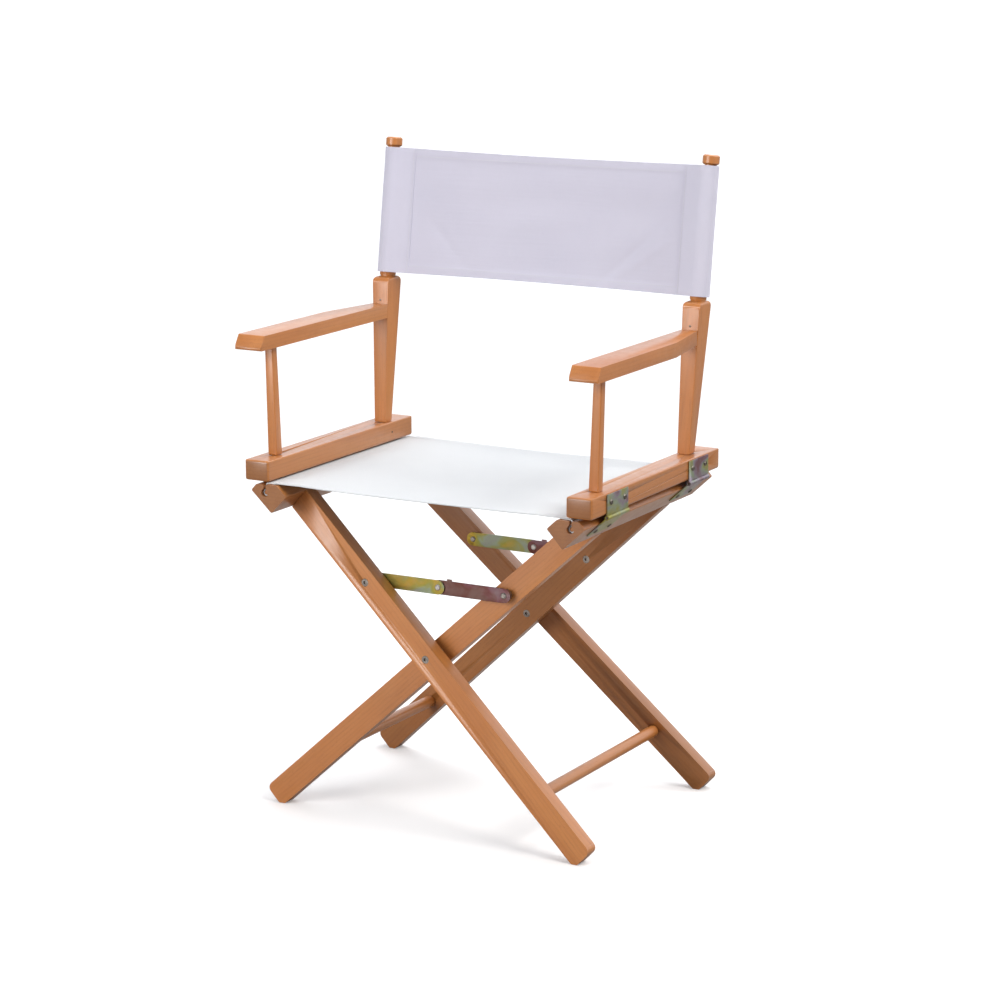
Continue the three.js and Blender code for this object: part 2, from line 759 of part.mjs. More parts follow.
for (const [name, { hand, side, front, rear, stretcherAt }] of Object.entries(frames)) {
  const frame = legFrame(hand);
  const outerPair = name === "outer";
  const frontBores = [0, braceReach].map((along) => boltHole(along, front, 1, outerPair));
  const rearBores = [0, braceReach].map((along) => boltHole(along, rear, -1, !outerPair));
  frame.add(piece(`${name}_front_leg`, leg(hand, front, 1, stretcherAt, frontBores), beech));
  frame.add(piece(`${name}_rear_leg`, leg(hand, rear, -1, stretcherAt, rearBores), beech));
  frame.add(piece(`${side}_seat_batten`, batten(hand), beech));
  frame.add(piece(`${name}_stretcher`, stretcher(stretcherAt, front + legThickness, rear), beech));

  leafStarts().forEach((start, index) => {
    const place = index ? "rear" : "front";
    const lower = piece(`${side}_${place}_hinge_lower_leaf`, lowerLeaf(start), zinc);
    lower.position.set(hingeAlong, 0, hingeAcross * hand);
    lower.rotation.y = -Math.PI / 2;
    frame.add(lower);
    const pin = rodAlongY(pinRadius, start, start + leafLength, fineSides);
    const pinPiece = piece(`${side}_${place}_hinge_pin`, pin, steel);
    pinPiece.position.set(hingeAlong, 0, hingeAcross * hand);
    frame.add(pinPiece);
  });
  chair.add(frame);
}

// Pivot bolts: head in the outer leg, nut in the inner leg, a spacer between them.
const pivots = {
  front: { face: outerFront, way: 1 },
  rear: { face: outerRear + legThickness, way: -1 },
};

for (const [place, { face, way }] of Object.entries(pivots)) {
  const through = 2 * legThickness + legGap;
  const at = (depth) => face + way * depth;
  const boltPiece = piece(`${place}_pivot_bolt`, bolt(face, way, through - boltHeadDepth - fitGap), steel);
  const gapStart = legThickness + faceRoom(spacerRadius);
  const gapEnd = legThickness + legGap - faceRoom(spacerRadius);
  const bore = rodAlongY(boltRadius + fitGap, ...sorted(at(gapStart - 1), at(gapEnd + 1)), fineSides);
  const spacer = cut(rodAlongY(spacerRadius, ...sorted(at(gapStart), at(gapEnd))), bore);
  const spacerPiece = piece(`${place}_pivot_spacer`, spacer, steel);
  const nutProfile = [
    [0, at(through - boltHeadDepth)],
    [boltHeadRadius, at(through - boltHeadDepth)],
    [boltHeadRadius, at(through)],
    [socketRadius, at(through)],
    [socketRadius, at(through - socketDepth)],
    [0, at(through - socketDepth)],
  ];
  const nut = turned(way > 0 ? nutProfile : nutProfile.reverse(), fineSides);
  const nutPiece = piece(`${place}_pivot_nut`, nut, steel);
  for (const part of [boltPiece, spacerPiece, nutPiece]) {
    part.position.z = pivotHeight;
    chair.add(part);
  }
}

// Brace links: the left ones bolt to the outer legs and the right ones to the inner legs. A collar on
// each bolt holds its link off the leg, so that the two links of a pair lie face to face. The pair sits
// near the outer leg, because the gap moves towards it on the way down to where the knee folds.
const braceX = braceReach * Math.cos(slope);
const braceZ = pivotHeight + braceReach * Math.sin(slope);

for (const [place, { face, way }] of Object.entries(pivots)) {
  const at = (depth) => face + way * (depth + splay * braceReach);
  const through = 2 * legThickness + legGap;
  const outerStart = legThickness + linksSetBack;
  const outerEnd = outerStart + linkThickness;
  const innerStart = outerEnd + fitGap;
  const innerEnd = innerStart + linkThickness;
  const outerLink = Math.min(at(outerStart), at(outerEnd));
  const innerLink = Math.min(at(innerStart), at(innerEnd));
  const collarStart = legThickness + faceRoom(collarRadius);
  const tail = rivetHeadHeight + fitGap;

  const bits = [
    [`${place}_left_link`, link(braceX, outerLink, false), zinc, -braceX],
    [`${place}_left_brace_bolt`, bolt(at(0), way, outerEnd + tail, [collarStart, outerStart - fitGap],
      rivetHeadRadius), steel, -braceX],
    [`${place}_right_link`, link(-braceX, innerLink, true), zinc, braceX],
    [`${place}_right_brace_bolt`, bolt(at(through), -way, through - innerStart + tail,
      [collarStart, through - innerEnd - fitGap], rivetHeadRadius), steel, braceX],
    [`${place}_knee_rivet_head`, rivetHalf(at(outerStart), way), steel, 0],
    [`${place}_knee_rivet_tail`, rivetHalf(at(innerEnd), -way), steel, 0],
  ];
  for (const [name, geometry, material, x] of bits) {
    const part = piece(name, geometry, material);
    part.position.set(x, 0, braceZ);
    chair.add(part);
  }
}

for (const [name, side] of [["left", -1], ["right", 1]]) {
  chair.add(piece(`${name}_arm_rail`, armRail(side), beech));
  chair.add(piece(`${name}_front_post`, frontPost(side), beech));
  chair.add(piece(`${name}_back_post`, backPost(side), beech));
  chair.add(piece(`${name}_armrest`, armrest(side), beech));

  leafStarts().forEach((start, index) => {
    const place = index ? "rear" : "front";
    const plate = piece(`${name}_${place}_hinge_upper_leaf`, upperLeaf(start), zinc);
    plate.position.set(hingeX * side, 0, hingeZ);
    chair.add(plate);
    screwPlaces(start).forEach((y, number) => {
      const screw = piece(`${name}_${place}_hinge_screw_${number + 1}`, leafScrew(side), steel);
      screw.position.set(0, y, railBottom + screwRise);
      chair.add(screw);
    });
  });

  const rod = rodAlongY(hemRodRadius, railFront + seatFrontInset, railRear - seatRearInset);
  const rodPiece = piece(`${name}_hem_rod`, rod, beech);
  rodPiece.position.set(hemRodX * side, 0, hemRodZ);
  chair.add(rodPiece);
}

chair.add(piece("seat_canvas", seatCanvas(), canvas));
chair.add(piece("back_canvas", backCanvas(), canvas));

// The origin is the middle of the chair's footprint box, on the floor.
chair.updateMatrixWorld(true);
const bounds = new THREE.Box3().setFromObject(chair, true);
chair.position.y = -(bounds.min.y + bounds.max.y) / 2;

export default chair;
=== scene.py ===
"""Looks of a wooden folding director's chair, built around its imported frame.

Lengths are in metres in the frame of the CAD: +Z is up and the front faces -Y. Each sub-assembly is a
class that builds its pieces, dresses them and hangs them on the body that carries them.
"""

import logging
import math
from dataclasses import dataclass, field
from enum import Enum

import bpy
from bpy.types import Material, Node, NodeSocket, NodeTree, Object
from mathutils import Matrix, Vector, noise


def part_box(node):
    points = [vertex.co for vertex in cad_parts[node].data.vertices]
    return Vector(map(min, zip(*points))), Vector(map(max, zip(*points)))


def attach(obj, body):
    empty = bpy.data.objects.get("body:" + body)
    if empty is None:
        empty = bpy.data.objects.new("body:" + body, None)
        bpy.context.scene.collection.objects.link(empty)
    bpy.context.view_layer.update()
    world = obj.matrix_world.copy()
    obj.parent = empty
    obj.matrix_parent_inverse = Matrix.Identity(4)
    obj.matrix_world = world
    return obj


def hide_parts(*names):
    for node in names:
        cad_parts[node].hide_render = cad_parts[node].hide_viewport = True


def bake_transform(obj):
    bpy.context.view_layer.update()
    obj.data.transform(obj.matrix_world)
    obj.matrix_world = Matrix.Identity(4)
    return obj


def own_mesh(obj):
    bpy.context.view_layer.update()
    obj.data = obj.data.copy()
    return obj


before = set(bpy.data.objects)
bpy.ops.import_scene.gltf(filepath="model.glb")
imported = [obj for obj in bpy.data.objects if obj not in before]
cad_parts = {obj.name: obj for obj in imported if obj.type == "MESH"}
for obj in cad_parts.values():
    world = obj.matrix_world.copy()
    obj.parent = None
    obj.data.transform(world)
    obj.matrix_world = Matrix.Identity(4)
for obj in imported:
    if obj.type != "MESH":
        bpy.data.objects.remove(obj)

LOG = logging.getLogger("chair")
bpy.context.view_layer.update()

MM = 0.001
LEG_SLOPE = math.radians(42.8)
SIDES = {"left": -1, "right": 1}
PLACES = ("front", "rear")
WELD = 1e-5
SHARP_TURN = math.radians(28)
FLAT_TURN = math.radians(0.6)
BRIGHT_EDGE = (0.48, 0.46, 0.42, 1.0)
SCUFF = (0.36, 0.35, 0.32, 1.0)
SMOOTH_ANGLE = math.radians(35)


class Grain(Enum):
    """The turn that brings a piece's grain onto the X axis."""

    DEPTH = (0.0, 0.0, -math.pi / 2)
    UPRIGHT = (0.0, math.pi / 2, 0.0)
    UP_LEFT = (0.0, -LEG_SLOPE, 0.0)
    UP_RIGHT = (0.0, LEG_SLOPE, 0.0)


class Slot(Enum):
    """Names of material slots, which no piece is given here."""

    BEECH = "beech"
    CANVAS = "canvas"
    ZINC = "zinc_plate"
    STEEL = "bolt_steel"


# ---------------------------------------------------------------- shader building


class Graph:
    """Adds and joins the nodes of one shader tree."""

    def __init__(self, tree: NodeTree) -> None:
        """Start on a tree.

        Args:
            tree: The node tree of a material or a group.
        """
        self.tree = tree

    def add(self, kind: str, inputs: dict | None = None, **settings: object) -> Node:
        """Add a node.

        Args:
            kind: The node's type name.
            inputs: Input names or numbers with a constant or a socket each.
            settings: Attributes to set on the node before its inputs.

        Returns:
            The new node.
        """
        node = self.tree.nodes.new(kind)
        for name, value in settings.items():
            setattr(node, name, value)
        self.feed(node, inputs or {})
        return node

    def feed(self, node: Node, values: dict) -> None:
        """Give a node's inputs a constant or a socket each."""
        for name, value in values.items():
            if isinstance(value, NodeSocket):
                self.tree.links.new(value, node.inputs[name])
            else:
                node.inputs[name].default_value = value

    def shared(self, tree: NodeTree, inputs: dict) -> Node:
        """Put a shared effect in the tree."""
        return self.add("ShaderNodeGroup", inputs, node_tree=tree)

    def math(self, operation: str, first: object, second: object = 0.0, clamp: bool = False) -> NodeSocket:
        """Combine two values.

        Args:
            operation: The name of the operation.
            first: A number or socket.
            second: A number or socket.
            clamp: Whether the result is kept from 0 to 1.

        Returns:
            The result's socket.
        """
        node = self.add("ShaderNodeMath", {0: first, 1: second}, operation=operation, use_clamp=clamp)
        return node.outputs[0]

    def mix(self, factor: object, first: object, second: object, blend: str = "MIX") -> NodeSocket:
        """Mix two colours.

        Args:
            factor: Share of the second colour.
            first: A colour or socket.
            second: A colour or socket.
            blend: The way of mixing.

        Returns:
            The mixed colour's socket.
        """
        node = self.add("ShaderNodeMix", {0: factor, 6: first, 7: second}, data_type="RGBA", blend_type=blend)
        return node.outputs[2]

    def span(self, value: object, low: float, high: float,
             to_low: float = 0.0, to_high: float = 1.0) -> NodeSocket:
        """Stretch a range of values smoothly onto another.

        Args:
            value: The value's socket.
            low: Start of the range.
            high: End of the range.
            to_low: Result at the start.
            to_high: Result at the end.

        Returns:
            The result's socket.
        """
        node = self.add("ShaderNodeMapRange", {0: value, 1: low, 2: high, 3: to_low, 4: to_high},
                        interpolation_type="SMOOTHSTEP")
        return node.outputs[0]

    def stretch(self, vector: NodeSocket, scale: tuple[float, float, float]) -> NodeSocket:
        """Scale a vector along each axis."""
        node = self.add("ShaderNodeVectorMath", {0: vector, 1: scale}, operation="MULTIPLY")
        return node.outputs[0]

    def noise(self, vector: NodeSocket, scale: float,
              detail: float = 2.0, distortion: float = 0.0) -> NodeSocket:
        """Cloudy values from 0 to 1.

        Args:
            vector: Where the pattern is read.
            scale: Its fineness.
            detail: Number of finer layers.
            distortion: How much it swirls.

        Returns:
            The value's socket.
        """
        node = self.add("ShaderNodeTexNoise",
                        {"Vector": vector, "Scale": scale, "Detail": detail, "Distortion": distortion})
        return node.outputs[0]


def group(name: str, inputs: dict[str, str], outputs: dict[str, str]) -> tuple[NodeTree, Graph, Node, Node]:
    """Start a shader node group.

    Args:
        name: The group's name.
        inputs: Names of the inputs with their socket types.
        outputs: Names of the outputs with their socket types.

    Returns:
        The tree, its graph, and its input and output nodes.
    """
    tree = bpy.data.node_groups.new(name, "ShaderNodeTree")
    for way, sockets in (("INPUT", inputs), ("OUTPUT", outputs)):
        for socket, kind in sockets.items():
            tree.interface.new_socket(name=socket, in_out=way, socket_type=f"NodeSocket{kind}")
    graph = Graph(tree)
    return tree, graph, graph.add("NodeGroupInput"), graph.add("NodeGroupOutput")


class Effects:
    """The node groups that several finishes share, each built once."""

    def __init__(self) -> None:
        """Build every group."""
        self.grain = self.build_grain()
        self.wear = self.build_wear()
        self.weave = self.build_weave()
        self.mottle = self.build_mottle()
        self.chromate = self.build_chromate()

    @staticmethod
    def build_grain() -> NodeTree:
        """Growth rings, ray flecks and slow changes of tone, with the grain along X."""
        tree, g, source, result = group(
            "beech_grain",
            {"Vector": "Vector", "Light": "Color", "Middle": "Color", "Dark": "Color"},
            {"Color": "Color", "Fleck": "Float", "Height": "Float"})
        along = g.stretch(source.outputs["Vector"], (0.10, 1.0, 1.0))
        cloud = g.noise(along, 26.0, 3.0, 0.6)
        tone = g.mix(g.span(cloud, 0.30, 0.72), source.outputs["Middle"], source.outputs["Light"])
        rings = g.add("ShaderNodeTexWave", {"Vector": along, "Scale": 62.0, "Distortion": 2.2, "Detail": 2.0,
                                            "Detail Scale": 1.6}, wave_type="RINGS", rings_direction="X")
        ringed = g.mix(g.span(rings.outputs["Fac"], 0.55, 1.0, 0.0, 0.12), tone, source.outputs["Dark"])
        streak = g.noise(g.stretch(source.outputs["Vector"], (0.04, 1.0, 1.0)), 420.0, 2.0)
        streaked = g.mix(g.span(streak, 0.50, 0.80, 0.0, 0.22), ringed, source.outputs["Dark"])
        ray = g.noise(g.stretch(source.outputs["Vector"], (0.26, 1.0, 1.0)), 900.0, 1.0)
        fleck = g.span(ray, 0.63, 0.74)
        g.feed(result, {
            "Color": g.mix(g.math("MULTIPLY", fleck, 0.26), streaked, source.outputs["Dark"]),
            "Fleck": fleck,
            "Height": g.math("ADD", g.math("MULTIPLY", streak, 0.6), g.math("MULTIPLY", fleck, -0.5)),
        })
        return tree

    @staticmethod
    def build_wear() -> NodeTree:
        """A mask of the outer edges, broken up by noise."""
        tree, g, source, result = group(
            "edge_wear", {"Vector": "Vector", "Radius": "Float"}, {"Mask": "Float"})
        soft = g.add("ShaderNodeBevel", {"Radius": source.outputs["Radius"]}, samples=4)
        plain = g.add("ShaderNodeNewGeometry")
        turned = g.add("ShaderNodeVectorMath", {0: soft.outputs[0], 1: plain.outputs["Normal"]},
                       operation="DOT_PRODUCT")
        edge = g.span(g.math("SUBTRACT", 1.0, turned.outputs["Value"]), 0.02, 0.22)
        patchy = g.span(g.noise(source.outputs["Vector"], 90.0, 4.0), 0.35, 0.70)
        g.feed(result, {"Mask": g.math("MULTIPLY", edge, patchy, clamp=True)})
        return tree

    @staticmethod
    def build_weave() -> NodeTree:
        """A plain weave in X and Y, with thicker threads here and there."""
        tree, g, source, result = group(
            "plain_weave", {"Vector": "Vector", "Threads": "Float"}, {"Height": "Float", "Gap": "Float"})
        parts = g.add("ShaderNodeSeparateXYZ", {0: source.outputs["Vector"]})
        turns = [g.math("MULTIPLY", parts.outputs[axis], source.outputs["Threads"]) for axis in (0, 1)]
        ridges = [g.math("ABSOLUTE", g.math("SINE", g.math("MULTIPLY", turn, math.pi))) for turn in turns]
        over = g.math("PINGPONG", g.math("ADD", g.math("FLOOR", turns[0]), g.math("FLOOR", turns[1])), 1.0)
        first = g.math("MULTIPLY", ridges[0], over)
        second = g.math("MULTIPLY", ridges[1], g.math("SUBTRACT", 1.0, over))
        cloth = g.math("ADD", first, second)
        slub = [g.noise(g.stretch(source.outputs["Vector"], scale), 260.0, 2.0)
                for scale in ((0.05, 1.0, 1.0), (1.0, 0.05, 1.0))]
        g.feed(result, {
            "Height": g.math("ADD", cloth, g.math("ADD", slub[0], slub[1])),
            "Gap": g.math("SUBTRACT", 1.0, cloth),
        })
        return tree

    @staticmethod
    def build_mottle() -> NodeTree:
        """Two sizes of soft clouds, for handling marks and uneven tone."""
        tree, g, source, result = group(
            "mottle", {"Vector": "Vector", "Scale": "Float"}, {"Mask": "Float", "Fine": "Float"})
        vector, scale = source.outputs["Vector"], source.outputs["Scale"]
        broad = g.add("ShaderNodeTexNoise",
                      {"Vector": vector, "Scale": scale, "Detail": 4.0, "Distortion": 0.5})
        tight = g.math("MULTIPLY", scale, 9.0)
        small = g.add("ShaderNodeTexNoise", {"Vector": vector, "Scale": tight, "Detail": 3.0})
        g.feed(result, {"Mask": g.span(broad.outputs[0], 0.35, 0.68), "Fine": small.outputs[0]})
        return tree

    @staticmethod
    def build_chromate() -> NodeTree:
        """The rainbow of a yellow chromate film: gold, green, lilac and bronze."""
        tree, g, source, result = group(
            "chromate_film", {"Vector": "Vector", "Shift": "Float"}, {"Color": "Color", "Film": "Float"})
        cloud = g.noise(g.stretch(source.outputs["Vector"], (1.0, 1.0, 1.6)), 16.0, 3.0, 1.2)
        film = g.math("ADD", g.span(cloud, 0.30, 0.70, 0.0, 0.55), source.outputs["Shift"], clamp=True)
        bands = g.add("ShaderNodeValToRGB", {0: film})
        stops = bands.color_ramp.elements
        stops[0].position, stops[0].color = 0.0, (0.50, 0.33, 0.05, 1.0)
        stops[1].position, stops[1].color = 1.0, (0.16, 0.055, 0.045, 1.0)
        for place, colour in ((0.22, (0.34, 0.32, 0.07, 1.0)), (0.42, (0.31, 0.37, 0.26, 1.0)),
                              (0.60, (0.30, 0.24, 0.30, 1.0)), (0.80, (0.20, 0.075, 0.08, 1.0))):
            stops.new(place).color = colour
        g.feed(result, {"Color": bands.outputs[0], "Film": film})
        return tree


@dataclass(frozen=True)
class Finish:
    """What every finish shares.

    Args:
        name: The material's name.
        turn: Turn of the pattern on the piece, as Euler angles.
        offset: Shift of the pattern, so that no two pieces match.
    """

    name: str
    turn: tuple[float, float, float] = (0.0, 0.0, 0.0)
    offset: tuple[float, float, float] = (0.0, 0.0, 0.0)

    def start(self) -> tuple[Material, Graph, Node, NodeSocket]:
        """Make the material with its shader and its turned coordinates.

        Returns:
            The material, its graph, its Principled BSDF and the pattern's vector.
        """
        material = bpy.data.materials.new(self.name)
        material.use_nodes = True
        graph = Graph(material.node_tree)
        places = graph.add("ShaderNodeTexCoord")
        turned = graph.add("ShaderNodeMapping", {"Vector": places.outputs["Object"], "Location": self.offset,
                                                 "Rotation": self.turn})
        return material, graph, material.node_tree.nodes["Principled BSDF"], turned.outputs[0]

    @staticmethod
    def shade(graph: Graph, shader: Node, sockets: dict, height: NodeSocket, depth: float) -> None:
        """Join values and a bump to the shader.

        Args:
            graph: The material's graph.
            shader: Its Principled BSDF.
            sockets: Input names with a constant or a socket each.
            height: The bump's height.
            depth: The bump's depth in metres.
        """
        bump = graph.add("ShaderNodeBump", {"Height": height, "Distance": depth, "Strength": 1.0})
        graph.feed(shader, {**sockets, "Normal": bump.outputs[0]})


@dataclass(frozen=True)
class Varnish(Finish):
    """Satin varnish on beech; tone makes the wood lighter or darker, and the end-grain tone darkens faces
    that point along the grain, partly as darker end grain and partly as painted shade on ends that face the
    front.
    """

    tone: float = 1.0
    end_grain_and_shade_tone: float = 0.92

    def colour(self, red: float, green: float, blue: float) -> tuple[float, float, float, float]:
        """A wood colour at this piece's tone."""
        return (red * self.tone, green * self.tone, blue * self.tone, 1.0)

    def build(self, effects: Effects) -> Material:
        """Build the material with grain, worn edges and handling marks."""
        material, g, shader, vector = self.start()
        grain = g.shared(effects.grain, {
            "Vector": vector, "Light": self.colour(0.52, 0.200, 0.050),
            "Middle": self.colour(0.44, 0.155, 0.034), "Dark": self.colour(0.20, 0.060, 0.014)})
        mottle = g.shared(effects.mottle, {"Vector": vector, "Scale": 11.0})
        wear = g.shared(effects.wear, {"Vector": vector, "Radius": 1.4 * MM})
        warm = g.mix(g.math("MULTIPLY", mottle.outputs["Mask"], 0.30), grain.outputs["Color"],
                     self.colour(0.50, 0.165, 0.032))
        worn = g.mix(g.math("MULTIPLY", wear.outputs["Mask"], 0.25), warm, self.colour(0.62, 0.34, 0.16))
        rough = g.math("ADD", g.span(mottle.outputs["Fine"], 0.3, 0.7, 0.34, 0.46),
                       g.math("MULTIPLY", grain.outputs["Fleck"], 0.08))
        # darken faces along the grain: partly real end grain, partly painted shade on the front-facing ends
        # of rails and battens
        facing = g.add("ShaderNodeMapping", {"Vector": g.add("ShaderNodeTexCoord").outputs["Normal"],
                                             "Rotation": self.turn}, vector_type="NORMAL")
        way = g.add("ShaderNodeSeparateXYZ", {0: facing.outputs[0]})
        end = g.span(g.math("ABSOLUTE", way.outputs["X"]), 0.75, 0.95)
        darker = g.mix(1.0, worn, (self.end_grain_and_shade_tone, self.end_grain_and_shade_tone, self.end_grain_and_shade_tone, 1.0), "MULTIPLY")
        ended = g.mix(end, worn, darker)
        self.shade(g, shader, {"Base Color": ended, "Roughness": rough, "Coat Weight": 0.60,
                               "Coat Roughness": 0.30}, grain.outputs["Height"], 0.05 * MM)
        return material


@dataclass(frozen=True)
class Duck(Finish):
    """Off-white cotton duck."""

    warp: tuple[float, float, float, float] = (0.63, 0.62, 0.73, 1.0)
    shadow: tuple[float, float, float, float] = (0.48, 0.475, 0.60, 1.0)
    weave_depth: float = 0.22 * MM

    def build(self, effects: Effects) -> Material:
        """Build the cloth with its weave, slubs and faint marks."""
        material, g, shader, vector = self.start()
        weave = g.shared(effects.weave, {"Vector": vector, "Threads": 760.0})
        mottle = g.shared(effects.mottle, {"Vector": vector, "Scale": 7.0})
        base = g.mix(g.math("MULTIPLY", weave.outputs["Gap"], 0.38), self.warp, self.shadow)
        marked = g.mix(g.math("MULTIPLY", mottle.outputs["Mask"], 0.16), base, self.shadow)
        rough = g.span(mottle.outputs["Fine"], 0.3, 0.7, 0.84, 0.96)
        self.shade(g, shader, {"Base Color": marked, "Roughness": rough, "Sheen Weight": 0.15,
                               "Sheen Roughness": 0.5}, weave.outputs["Height"], self.weave_depth)
        return material


@dataclass(frozen=True)
class Chromate(Finish):
    """Yellow-chromated zinc plate; shift picks the part of the rainbow."""

    shift: float = 0.0

    def build(self, effects: Effects) -> Material:
        """Build the plate with its coloured film, scuffs and worn edges."""
        material, g, shader, vector = self.start()
        film = g.shared(effects.chromate, {"Vector": vector, "Shift": self.shift})
        mottle = g.shared(effects.mottle, {"Vector": vector, "Scale": 40.0})
        wear = g.shared(effects.wear, {"Vector": vector, "Radius": 0.5 * MM})
        scuffed = g.mix(g.math("MULTIPLY", mottle.outputs["Mask"], 0.22), film.outputs["Color"],
                        SCUFF)
        worn = g.mix(g.math("MULTIPLY", wear.outputs["Mask"], 0.5), scuffed, BRIGHT_EDGE)
        rough = g.span(mottle.outputs["Fine"], 0.3, 0.7, 0.30, 0.44)
        self.shade(g, shader, {"Base Color": worn, "Roughness": rough, "Metallic": 0.80},
                   mottle.outputs["Fine"], 0.04 * MM)
        return material


@dataclass(frozen=True)
class Steel(Finish):
    """Dull plated steel of the bolts, pins and screws."""

    base: tuple[float, float, float, float] = (0.36, 0.33, 0.30, 1.0)
    dark: tuple[float, float, float, float] = (0.14, 0.12, 0.11, 1.0)

    def build(self, effects: Effects) -> Material:
        """Build the metal with tarnish and bright edges."""
        material, g, shader, vector = self.start()
        mottle = g.shared(effects.mottle, {"Vector": vector, "Scale": 120.0})
        wear = g.shared(effects.wear, {"Vector": vector, "Radius": 0.4 * MM})
        tarnished = g.mix(g.math("MULTIPLY", mottle.outputs["Mask"], 0.6), self.base, self.dark)
        worn = g.mix(wear.outputs["Mask"], tarnished, (0.62, 0.60, 0.57, 1.0))
        rough = g.span(mottle.outputs["Fine"], 0.3, 0.7, 0.32, 0.50)
        self.shade(g, shader, {"Base Color": worn, "Roughness": rough, "Metallic": 0.95},
                   mottle.outputs["Fine"], 0.03 * MM)
        return material


# ---------------------------------------------------------------- shaping


def clear_selection() -> None:
    """Deselect every object, in object mode."""
    if bpy.context.object is not None and bpy.context.object.mode != "OBJECT":
        bpy.ops.object.mode_set(mode="OBJECT")
    bpy.ops.object.select_all(action="DESELECT")


def activate(piece: Object) -> None:
    """Make one piece the selected and active one."""
    clear_selection()
    piece.select_set(True)
    bpy.context.view_layer.objects.active = piece


def added(name: str) -> Object:
    """Name the primitive that was just added, and put its place in its mesh.

    Args:
        name: The piece's name.

    Returns:
        The object, active and in object mode.
    """
    piece = bpy.context.object
    piece.name = name
    bpy.ops.object.transform_apply(location=True, rotation=True, scale=True)
    return piece


def apply_modifier(piece: Object, kind: str, **settings: object) -> None:
    """Add a modifier to the active piece and apply it."""
    modifier = piece.modifiers.new(kind.lower(), kind)
    for name, value in settings.items():
        setattr(modifier, name, value)
    bpy.ops.object.modifier_apply(modifier=modifier.name)


def smooth(piece: Object, angle: float = SMOOTH_ANGLE) -> None:
    """Shade a piece smooth, apart from its sharp edges."""
    activate(piece)
    bpy.ops.object.shade_smooth_by_angle(angle=angle)


def weigh_long_edges(piece: Object, shortest: float) -> None:
    """Give a bevel weight to the sharp edges that are long enough.

    Args:
        piece: The piece, in object mode.
        shortest: The least length of an edge that is eased.
    """
    mesh = piece.data
    weights = mesh.attributes.new("bevel_weight_edge", "FLOAT", "EDGE")
    normals: dict[tuple[int, int], list[Vector]] = {}
    for face in mesh.polygons:
        for key in face.edge_keys:
            normals.setdefault(key, []).append(face.normal)
    for edge in mesh.edges:
        around = normals[edge.key]
        first, second = (mesh.vertices[index].co for index in edge.vertices)
        is_sharp = len(around) == 2 and around[0].dot(around[1]) < math.cos(SHARP_TURN)
        weights.data[edge.index].value = float(is_sharp and (first - second).length > shortest)


def eased_copy(node: str, radius: float, shortest: float = 9 * MM) -> Object:
    """Copy a CAD node and round its long edges.

    Args:
        node: The CAD node.
        radius: The rounding's width.
        shortest: The least length of an edge that is eased.

    Returns:
        The new piece, which isn't on a body yet.
    """
    clear_selection()
    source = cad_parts[node]
    piece = source.copy()
    piece.data = source.data.copy()
    piece.parent = None
    piece.matrix_world = Matrix.Identity(4)
    for key in list(piece.keys()):
        del piece[key]
    bpy.context.collection.objects.link(piece)
    piece.name = f"{node}_piece"
    activate(piece)
    bpy.ops.object.mode_set(mode="EDIT")
    bpy.ops.mesh.select_all(action="SELECT")
    bpy.ops.mesh.remove_doubles(threshold=WELD)
    bpy.ops.mesh.dissolve_limited(angle_limit=FLAT_TURN)
    bpy.ops.object.mode_set(mode="OBJECT")
    weigh_long_edges(piece, shortest)
    apply_modifier(piece, "BEVEL", width=radius, segments=3, limit_method="WEIGHT")
    smooth(piece)
    return piece


def hang(piece: Object, body: str, material: Material, replaced: tuple[str, ...] = ()) -> Object:
    """Dress a piece and hang it on its body.

    Args:
        piece: The finished piece.
        body: The CAD body that carries it.
        material: Its finish.
        replaced: CAD nodes that it stands for.

    Returns:
        The piece.
    """
    piece.data.materials.clear()
    piece.data.materials.append(material)
    if body:
        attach(piece, body)
    if replaced:
        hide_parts(*replaced)
    LOG.info("%s on %s in %s", piece.name, body or "two bodies", material.name)
    return piece


def repaint(node: str, material: Material) -> None:
    """Give a CAD node that stays in view its finish."""
    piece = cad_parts[node]
    piece.data.materials.clear()
    piece.data.materials.append(material)
    LOG.info("%s in %s", node, material.name)


def mesh_piece(name: str, points: list[Vector], faces: list[tuple[int, ...]]) -> Object:
    """Make a piece from points and faces.

    Args:
        name: The piece's name.
        points: The mesh's corners.
        faces: Corner numbers of each face.

    Returns:
        The piece, active.
    """
    mesh = bpy.data.meshes.new(name)
    mesh.from_pydata([tuple(point) for point in points], [], faces)
    piece = bpy.data.objects.new(name, mesh)
    bpy.context.collection.objects.link(piece)
    activate(piece)
    bpy.ops.object.mode_set(mode="EDIT")
    bpy.ops.mesh.select_all(action="SELECT")
    bpy.ops.mesh.normals_make_consistent(inside=False)
    bpy.ops.object.mode_set(mode="OBJECT")
    return piece


def moved_copy(piece: Object, place: Matrix, name: str) -> Object:
    """Copy a piece with its own mesh, moved by a matrix."""
    twin = piece.copy()
    twin.data = piece.data.copy()
    twin.data.transform(place)
    twin.name = name
    bpy.context.collection.objects.link(twin)
    return twin


